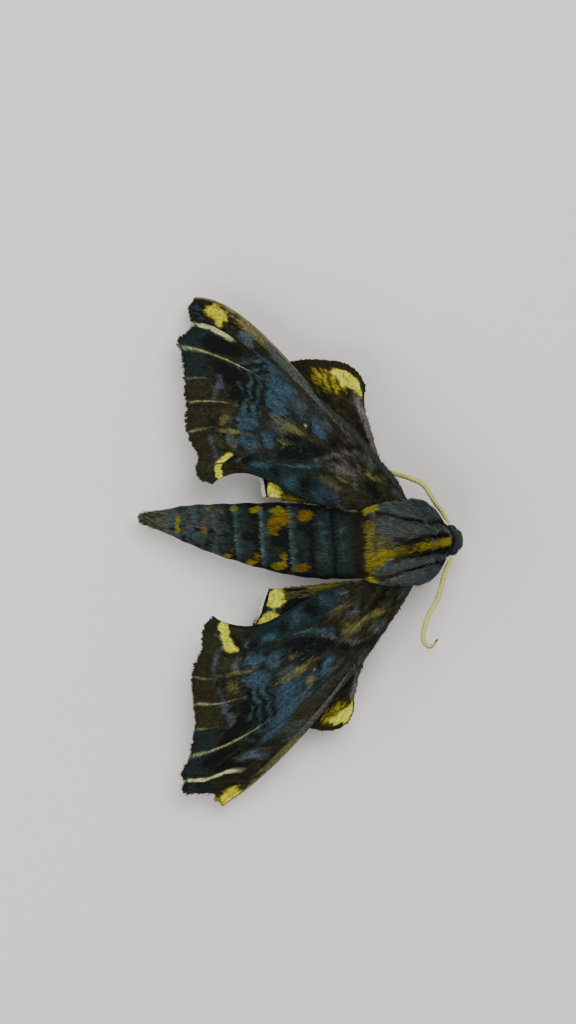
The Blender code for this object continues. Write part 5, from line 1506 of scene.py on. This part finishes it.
class MOTH_OT_wing_hair(bpy.types.Operator):
    """Grow the fringe along the wing edges and the long hair over the wing roots"""

    bl_idname = "moth.wing_hair"
    bl_label = "Wing fringe and root hair"

    def execute(self, context):
        finish = scale_material("wing_hair", 0.78, 0.16, (9000.0, 4000.0, 9000.0), bump=0.2)
        for number, wing in enumerate(WINGS):
            self.fringe(wing, finish, 400 + number)
            self.root_hair(wing, finish, 420 + number)
        return {"FINISHED"}

    def fringe(self, wing, finish, seed):
        rng = np.random.default_rng(seed)
        count = FRINGE_TUFTS
        is_fore = wing.startswith("fore")
        last = last_vein(wing)
        place = np.sort(rng.uniform(0.0, last, count))
        share = rng.uniform(0.978, 0.990, count)
        roots = wing_sheet(wing, place, share)
        out = unit(wing_sheet(wing, place, share + 0.01) - roots)
        lie = out + rng.normal(0.0, 0.20, out.shape) * np.array((1.0, 1.0, 0.3))
        tooth = mottle(place * 9.0, np.full(count, 0.5), seed + 9)
        length = sizes("fringe") * (0.95 + 0.55 * tooth) * rng.uniform(0.75, 1.15, count)
        chips = colours()
        shades = lay(wing_marks(wing, place, share) * 0.85, chips["olive"] * 0.8, 0.45)
        if is_fore:
            length *= 1.0 - 0.55 * (1.0 - smooth(0.2, 0.6, place))
        else:
            length *= 0.5 + 0.4 * smooth(6.2, 6.8, place)
            white = smooth(6.2 if wing.endswith("right") else 6.9, 7.2, place)
            shades = lay(shades, chips["white"], 0.95 * white)
            shades = lay(shades, chips["brown"] * 0.8, 0.8 * (1.0 - smooth(2.6, 3.2, place)))
        uv = columns(place / last, share)
        grow_tufts(
            f"{wing}_fringe", finish, roots, UP, lie, length, 0.085,
            length * 0.02, shades, uv, seed + 50,
        )

    def root_hair(self, wing, finish, seed):
        rng = np.random.default_rng(seed)
        is_fore = wing.startswith("fore")
        last = last_vein(wing)
        if is_fore:
            count = FORE_ROOT_TUFTS
            place = rng.uniform(0.1, last, count)
            share = rng.uniform(0.0, 0.32, count)
            keep = rng.uniform(0.0, 1.0, count) < 1.0 - smooth(0.14, 0.32, share - 0.012 * place) * 0.85
            place, share = place[keep], share[keep]
        else:
            count = HIND_ROOT_TUFTS
            place = rng.uniform(0.12, 1.3, count)
            share = rng.uniform(0.25, 0.80, count)
        roots = wing_sheet(wing, place, share)
        roots[:, 2] += 0.5 * sizes("wing_thickness")
        ahead = wing_sheet(wing, place, share + 0.02) - roots
        ahead[:, 2] = 0.0
        curl = 0.9 * mottle(place * 1.3, share * 18.0, seed + 1)
        lie = unit(ahead) + rng.normal(0.0, 0.22, ahead.shape)
        lie[:, 0] += curl * unit(ahead)[:, 1]
        lie[:, 1] -= curl * unit(ahead)[:, 0]
        length = rng.uniform(0.35, 0.80, len(place)) if is_fore else rng.uniform(0.3, 0.6, len(place))
        shades = wing_marks(wing, place, np.clip(share + 0.012, 0.0, 1.0)) * 1.1
        uv = columns(place / last, share)
        width = rng.uniform(0.07, 0.11, len(place))
        grow_tufts(
            f"{wing}_hair", finish, roots, UP, lie, length, width,
            length * 0.24, shades, uv, seed + 70,
        )
        if is_fore:
            self.shoulder_hair(wing, finish, seed)
        else:
            self.inner_fluff(wing, finish, seed)

    def inner_fluff(self, wing, finish, seed):
        """Soft yellowish hair along a hindwing's inner edge, beside the abdomen."""
        rng = np.random.default_rng(seed + 7)
        count = FLUFF_TUFTS
        last = last_vein(wing)
        place = last - 0.5 * rng.uniform(0.0, 1.0, count) ** 2
        share = rng.uniform(0.10, 0.78, count)
        roots = wing_sheet(wing, place, share)
        roots[:, 2] += 0.4 * sizes("wing_thickness")
        ahead = unit(wing_sheet(wing, place, share + 0.02) - roots)
        inward = columns(-np.sign(roots[:, 0]), 0.0, 0.0)
        lie = ahead + 0.22 * inward + rng.normal(0.0, 0.10, (count, 3))
        length = rng.uniform(0.4, 0.8, count)
        chips = colours()
        near = smooth(0.0, 0.5, 0.62 - share) if wing.endswith("right") else np.full(count, 0.25)
        shades = lay(chips["khaki"] * 0.8, chips["gold"] * 1.1, near * rng.uniform(0.3, 1.0, count))
        shades = lay(shades, chips["brown"], 0.6 * (rng.uniform(0.0, 1.0, count) < 0.35))
        uv = columns(place / last, share)
        grow_tufts(
            f"{wing}_fluff", finish, roots, UP, lie, length, 0.075,
            length * 0.15, shades, uv, seed + 95,
        )

    def shoulder_hair(self, wing, finish, seed):
        """Close grey hair that rounds off the front edge of a forewing near its root."""
        rng = np.random.default_rng(seed + 5)
        count = SHOULDER_TUFTS
        place = rng.uniform(0.0, 0.35, count)
        share = rng.uniform(-0.02, 0.36, count)
        roots = wing_sheet(wing, place, share)
        roots[:, 2] += rng.uniform(-0.5, 0.5, count) * sizes("wing_thickness")
        ahead = unit(wing_sheet(wing, place, share + 0.02) - roots)
        front = unit(columns(-ahead[:, 1], ahead[:, 0], 0.0))
        front *= np.where(front[:, 1] > 0.0, -1.0, 1.0)[:, None]
        reach = SHOULDER_REACH[wing] * smooth(-0.02, 0.05, share) * (1.0 - smooth(0.20, 0.36, share))
        length = rng.uniform(0.7, 1.1, count) * (0.5 + reach)
        lie = ahead + front * (reach / length * 1.25)[:, None] + rng.normal(0.0, 0.06, (count, 3))
        chips = colours()
        grey = rng.uniform(0.3, 1.0, count)
        shades = lay(chips["olive"] * 0.7, chips["grey"] * 0.9, grey)
        uv = columns(place / last_vein(wing), np.clip(share, 0.0, 1.0))
        grow_tufts(
            f"{wing}_shoulder", finish, roots, UP, lie, length, 0.10,
            length * 0.05, shades, uv, seed + 90,
        )


# Feelers and legs


def smooth_path(rows, count):
    """Catmull-Rom curve through rows of point and radius."""
    rows = np.array(rows, float)
    padded = np.vstack([2 * rows[0] - rows[1], rows, 2 * rows[-1] - rows[-2]])
    place = np.linspace(0.0, len(rows) - 1 - 1e-9, count)
    index = place.astype(int)
    t = (place - index)[:, None]
    a, b, c, d = (padded[index + k] for k in range(4))
    return 0.5 * (2 * b + (c - a) * t + (2 * a - 5 * b + 4 * c - d) * t**2 + (3 * b - a - 3 * c + d) * t**3)


def path_frames(spine, hint):
    along = unit(np.gradient(spine, axis=0))
    side = unit(np.cross(along, np.broadcast_to(hint, along.shape)))
    return along, side, np.cross(side, along)


def tube(spine, radii, hint):
    """Ball drawn out along a path, closed at both ends."""
    obj, share, turn = new_ball(TUBE_SIDES, len(spine) + 1)
    share = share * (len(spine) + 1) - 1.0
    ring = np.clip(np.round(share).astype(int), 0, len(spine) - 1)
    pole = (share < -0.5) | (share > len(spine) - 0.5)
    along, side, up = path_frames(spine, hint)
    spread = np.where(pole, 0.0, radii[ring])[:, None]
    aside = side[ring] * np.cos(turn)[:, None] * spread
    raised = up[ring] * np.sin(turn)[:, None] * spread
    set_points(obj.data, spine[ring] + aside + raised)
    face_out()
    obj.data.shade_smooth()
    return obj, ring


class MOTH_OT_antennae(bpy.types.Operator):
    """Build the comb-toothed feelers with their hooked tips"""

    bl_idname = "moth.antennae"
    bl_label = "Feelers"

    def execute(self, context):
        chips = colours()
        finish = scale_material("feeler", 0.5, 0.12, (9000.0, 9000.0, 9000.0), sheen=0.1, bump=0.3)
        for side, rows in (("left", ANTENNA_LEFT), ("right", ANTENNA_RIGHT)):
            count = FEELER_POINTS
            line = smooth_path(rows, count)
            spine, radii = line[:, :3], line[:, 3] * 0.88
            share = np.linspace(0.0, 1.0, count)
            walked = np.concatenate([[0.0], np.cumsum(np.linalg.norm(np.diff(spine, axis=0), axis=1))])
            rings = 0.5 + 0.5 * np.cos(2.0 * np.pi * walked / FEELER_RING)
            radii = radii * (0.72 + 0.28 * smooth(0.0, 0.14, share))
            obj, ring = tube(spine, radii * (0.80 + 0.20 * rings), UP)
            # Lime, a little less blue, with painted shade in the grooves between the rings: half as bright at
            # each groove as on each ring
            shade = chips["lime"] * (0.50 + 0.50 * rings[ring])[:, None] * np.array((1.0, 1.0, 0.80))
            shade = lay(shade, chips["brown"], 0.90 * smooth(0.92, 0.96, share[ring]))
            set_colour(obj.data, shade)
            finish_piece(obj, f"feeler_{side}", finish, (f"antenna_{side}",))
            self.teeth(side, spine, radii, chips, finish)
        return {"FINISHED"}

    def teeth(self, side, spine, radii, chips, finish):
        pick = np.arange(24, len(spine) - 24, 3)
        along, across, up = path_frames(spine, UP)
        outer = -1.0 if side == "left" else 1.0
        groups = []
        for turn in (-0.9, -0.35, 0.0):
            lie = across[pick] * outer * math.cos(turn) + up[pick] * math.sin(turn) + along[pick] * 0.25
            groups.append((spine[pick] + unit(lie) * (radii[pick] * 0.8)[:, None], lie))
        roots = np.concatenate([g[0] for g in groups])
        lie = np.concatenate([g[1] for g in groups])
        normals = np.concatenate([up[pick]] * len(groups))
        normals = unit(normals - unit(lie) * np.sum(normals * unit(lie), axis=1)[:, None])
        share = np.tile(pick / len(spine), len(groups))
        fade = smooth(0.0, 0.12, share) * (1.0 - smooth(0.85, 0.97, share))
        uv = columns(share, np.repeat((0.2, 0.5, 0.8), len(pick)))
        grow_tufts(
            f"feeler_teeth_{side}", finish, roots, normals, lie, 0.05 + 0.10 * fade, 0.055,
            np.zeros(len(roots)), chips["lime"] * 0.38, uv, 520,
        )


class MOTH_OT_legs(bpy.types.Operator):
    """Build the six legs with their hair, spurs and claws"""

    bl_idname = "moth.legs"
    bl_label = "Legs"

    def execute(self, context):
        chips = colours()
        finish = scale_material("leg_hair", 0.8, 0.25, (9000.0, 9000.0, 4000.0), bump=0.3)
        for name, rows in LEGS.items():
            for side, sign in (("left", 1.0), ("right", -1.0)):
                self.leg(name, side, sign, rows, chips, finish)
        return {"FINISHED"}

    def leg(self, name, side, sign, rows, chips, finish):
        rows = np.array(rows)
        if side == "right":
            rows[:, 1] += RIGHT_SWAY[name] * np.linspace(0.0, 1.0, len(rows))
        rows[:, 0] *= sign
        count = LEG_POINTS
        line = smooth_path(rows, count)
        spine, radii = line[:, :3], line[:, 3]
        share = np.linspace(0.0, 1.0, count)
        joints = np.cos(2.0 * np.pi * (share - 0.62) / 0.076)
        radii = radii * (1.0 + 0.10 * joints * smooth(0.60, 0.66, share))
        spine[:, 2] = np.maximum(spine[:, 2], radii + 0.005)
        across = rows[-1, :3] - rows[0, :3]
        hint = (-across[1], across[0], 0.0)
        obj, ring = tube(spine, radii, hint)
        shade = chips["leg_brown"] * (1.0 + 0.15 * joints[ring])[:, None]
        shade = lay(shade, chips["lilac"], 0.35 * (1.0 - smooth(0.3, 0.6, share[ring])))
        set_colour(obj.data, shade)
        finish_piece(obj, f"leg_skin_{name}_{side}", finish, (f"leg_{name}_{side}",))
        seed = 600 + 10 * list(LEGS).index(name) + (1 if side == "left" else 2)
        rng = np.random.default_rng(seed)
        place = rng.uniform(0.03, 0.97, LEG_TUFTS)
        place = place[rng.uniform(0.0, 1.0, LEG_TUFTS) < 1.0 - 0.45 * smooth(0.6, 0.75, place)]
        index = (place * (count - 1)).astype(int)
        turn = rng.uniform(0.0, 2.0 * np.pi, len(index))
        along, flank, up = path_frames(spine, hint)
        away = flank[index] * np.cos(turn)[:, None] + up[index] * np.sin(turn)[:, None]
        roots = spine[index] + away * (radii[index] * 0.95)[:, None]
        long = 1.0 - smooth(0.55, 0.72, place)
        length = 0.12 + 0.42 * long * rng.uniform(0.6, 1.0, len(index))
        lift = length * 0.22 * long
        lie = along[index] + rng.normal(0.0, 0.15, (len(index), 3))
        shades = lay(chips["leg_brown"] * 1.1, chips["lilac"], 0.5 * rng.uniform(0.0, 1.0, len(index)))
        keep = roots[:, 2] + away[:, 2] * lift > 0.12
        self.spurs(name, side, spine, radii, along, flank, chips, finish)
        uv = columns(place, turn / (2.0 * np.pi))
        grow_tufts(
            f"leg_fur_{name}_{side}", finish, roots[keep], away[keep], lie[keep],
            length[keep], 0.085, lift[keep], shades[keep], uv[keep], seed + 5,
        )

    def spurs(self, name, side, spine, radii, along, flank, chips, finish):
        """Two claws at the end of the foot, and the spurs of the shin."""
        places = [0.985, 0.985]
        turns = [-0.5, 0.5]
        lengths = [0.22, 0.22]
        if name != "front":
            places += [0.60, 0.60]
            turns += [-0.9, 0.9]
            lengths += [0.55, 0.42]
        if name == "hind":
            places += [0.50, 0.50]
            turns += [-0.8, 0.8]
            lengths += [0.50, 0.38]
        index = (np.array(places) * (len(spine) - 1)).astype(int)
        turn = np.array(turns)
        sideways = flank[index] * np.sin(turn)[:, None]
        roots = spine[index] + sideways * (radii[index] * 0.8)[:, None]
        lie = along[index] + sideways * 0.9
        lie[:2, 2] = -0.15
        lie[2:, 2] = np.maximum(lie[2:, 2], -0.55)
        length = np.array(lengths)
        shades = np.tile(chips["leg_brown"] * 0.7, (len(index), 1))
        shades[2:] = chips["leg_brown"] * 1.3
        uv = columns(places, turn / (2.0 * np.pi) + 0.5)
        grow_tufts(
            f"leg_spurs_{name}_{side}", finish, roots, UP, lie, length, 0.11,
            length * 0.05, shades, uv, 700,
        )


class MOTH_OT_stage(bpy.types.Operator):
    """Lay the plain floor, the soft lights and the camera over the moth"""

    bl_idname = "moth.stage"
    bl_label = "Stage, lights and camera"

    def execute(self, context):
        deselect()
        bpy.ops.mesh.primitive_plane_add(size=1.6, location=(0.0, 0.0, 0.0))
        floor = context.object
        floor.name = "floor"
        material, tree, shader = new_material("floor_paper")
        shader.inputs["Base Color"].default_value = (*colours()["floor"], 1.0)
        shader.inputs["Roughness"].default_value = 0.9
        floor.data.materials.append(material)
        for name, place, size, power in (
            ("key", (0.16, -0.10, 0.42), 0.30, 1.7),
            ("fill", (-0.24, 0.18, 0.34), 0.36, 0.8),
            ("rim", (0.02, 0.34, 0.22), 0.26, 0.5),
        ):
            bpy.ops.object.light_add(type="AREA", location=place)
            light = context.object
            light.name = name
            light.data.size = size
            light.data.energy = power
            light.rotation_mode = "QUATERNION"
            light.rotation_quaternion = (-Vector(place)).to_track_quat("-Z", "Y")
        world = bpy.data.worlds.new("studio")
        world.use_nodes = True
        world.node_tree.nodes["Background"].inputs["Color"].default_value = (0.92, 0.95, 1.0, 1.0)
        world.node_tree.nodes["Background"].inputs["Strength"].default_value = 0.30
        context.scene.world = world
        bpy.ops.object.camera_add()
        camera = context.object
        camera.name = "camera"
        camera.data.sensor_width = 36.0
        camera.data.lens = 36.0 * VIEW_DISTANCE / VIEW_HEIGHT
        camera.data.clip_start = 0.01
        tilt = math.radians(4.0)
        right = Vector((-math.sin(tilt), -math.cos(tilt), 0.0))
        up = Vector((math.cos(tilt), -math.sin(tilt), 0.0))
        turn = Matrix((right, up, Vector((0.0, 0.0, 1.0)))).transposed().to_4x4()
        place = (0.003873, 0.001193, (VIEW_LEVEL + VIEW_DISTANCE) * MM)
        camera.matrix_world = Matrix.Translation(place) @ turn
        context.scene.camera = camera
        return {"FINISHED"}


class MOTH_PT_panel(bpy.types.Panel):
    """Sizes, colours and pieces of the moth"""

    bl_idname = "MOTH_PT_panel"
    bl_label = "Small-eyed sphinx moth"
    bl_space_type = "VIEW_3D"
    bl_region_type = "UI"
    bl_category = "Moth"

    def draw(self, context):
        layout = self.layout
        for key in MothSizes.__annotations__:
            layout.prop(context.scene.moth_sizes, key)
        for key in CHIPS:
            layout.prop(context.scene.moth_colours, key)
        for operator in OPERATORS:
            layout.operator(operator.bl_idname)


OPERATORS = (
    MOTH_OT_stage,
    MOTH_OT_body,
    MOTH_OT_thorax_fur,
    MOTH_OT_abdomen_fur,
    MOTH_OT_head_fur,
    MOTH_OT_wings,
    MOTH_OT_wing_hair,
    MOTH_OT_antennae,
    MOTH_OT_legs,
)
CLASSES = (MothColours, MothSizes, *OPERATORS, MOTH_PT_panel)


def register():
    for cls in CLASSES:
        bpy.utils.register_class(cls)
    bpy.types.Scene.moth_colours = bpy.props.PointerProperty(type=MothColours)
    bpy.types.Scene.moth_sizes = bpy.props.PointerProperty(type=MothSizes)


def unregister():
    del bpy.types.Scene.moth_sizes
    del bpy.types.Scene.moth_colours
    for cls in reversed(CLASSES):
        bpy.utils.unregister_class(cls)


def main():
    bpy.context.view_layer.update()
    register()
    bpy.ops.moth.stage()
    bpy.ops.moth.body()
    bpy.ops.moth.thorax_fur()
    bpy.ops.moth.abdomen_fur()
    bpy.ops.moth.head_fur()
    bpy.ops.moth.wings()
    bpy.ops.moth.wing_hair()
    bpy.ops.moth.antennae()
    bpy.ops.moth.legs()


if __name__ == "__main__":
    main()
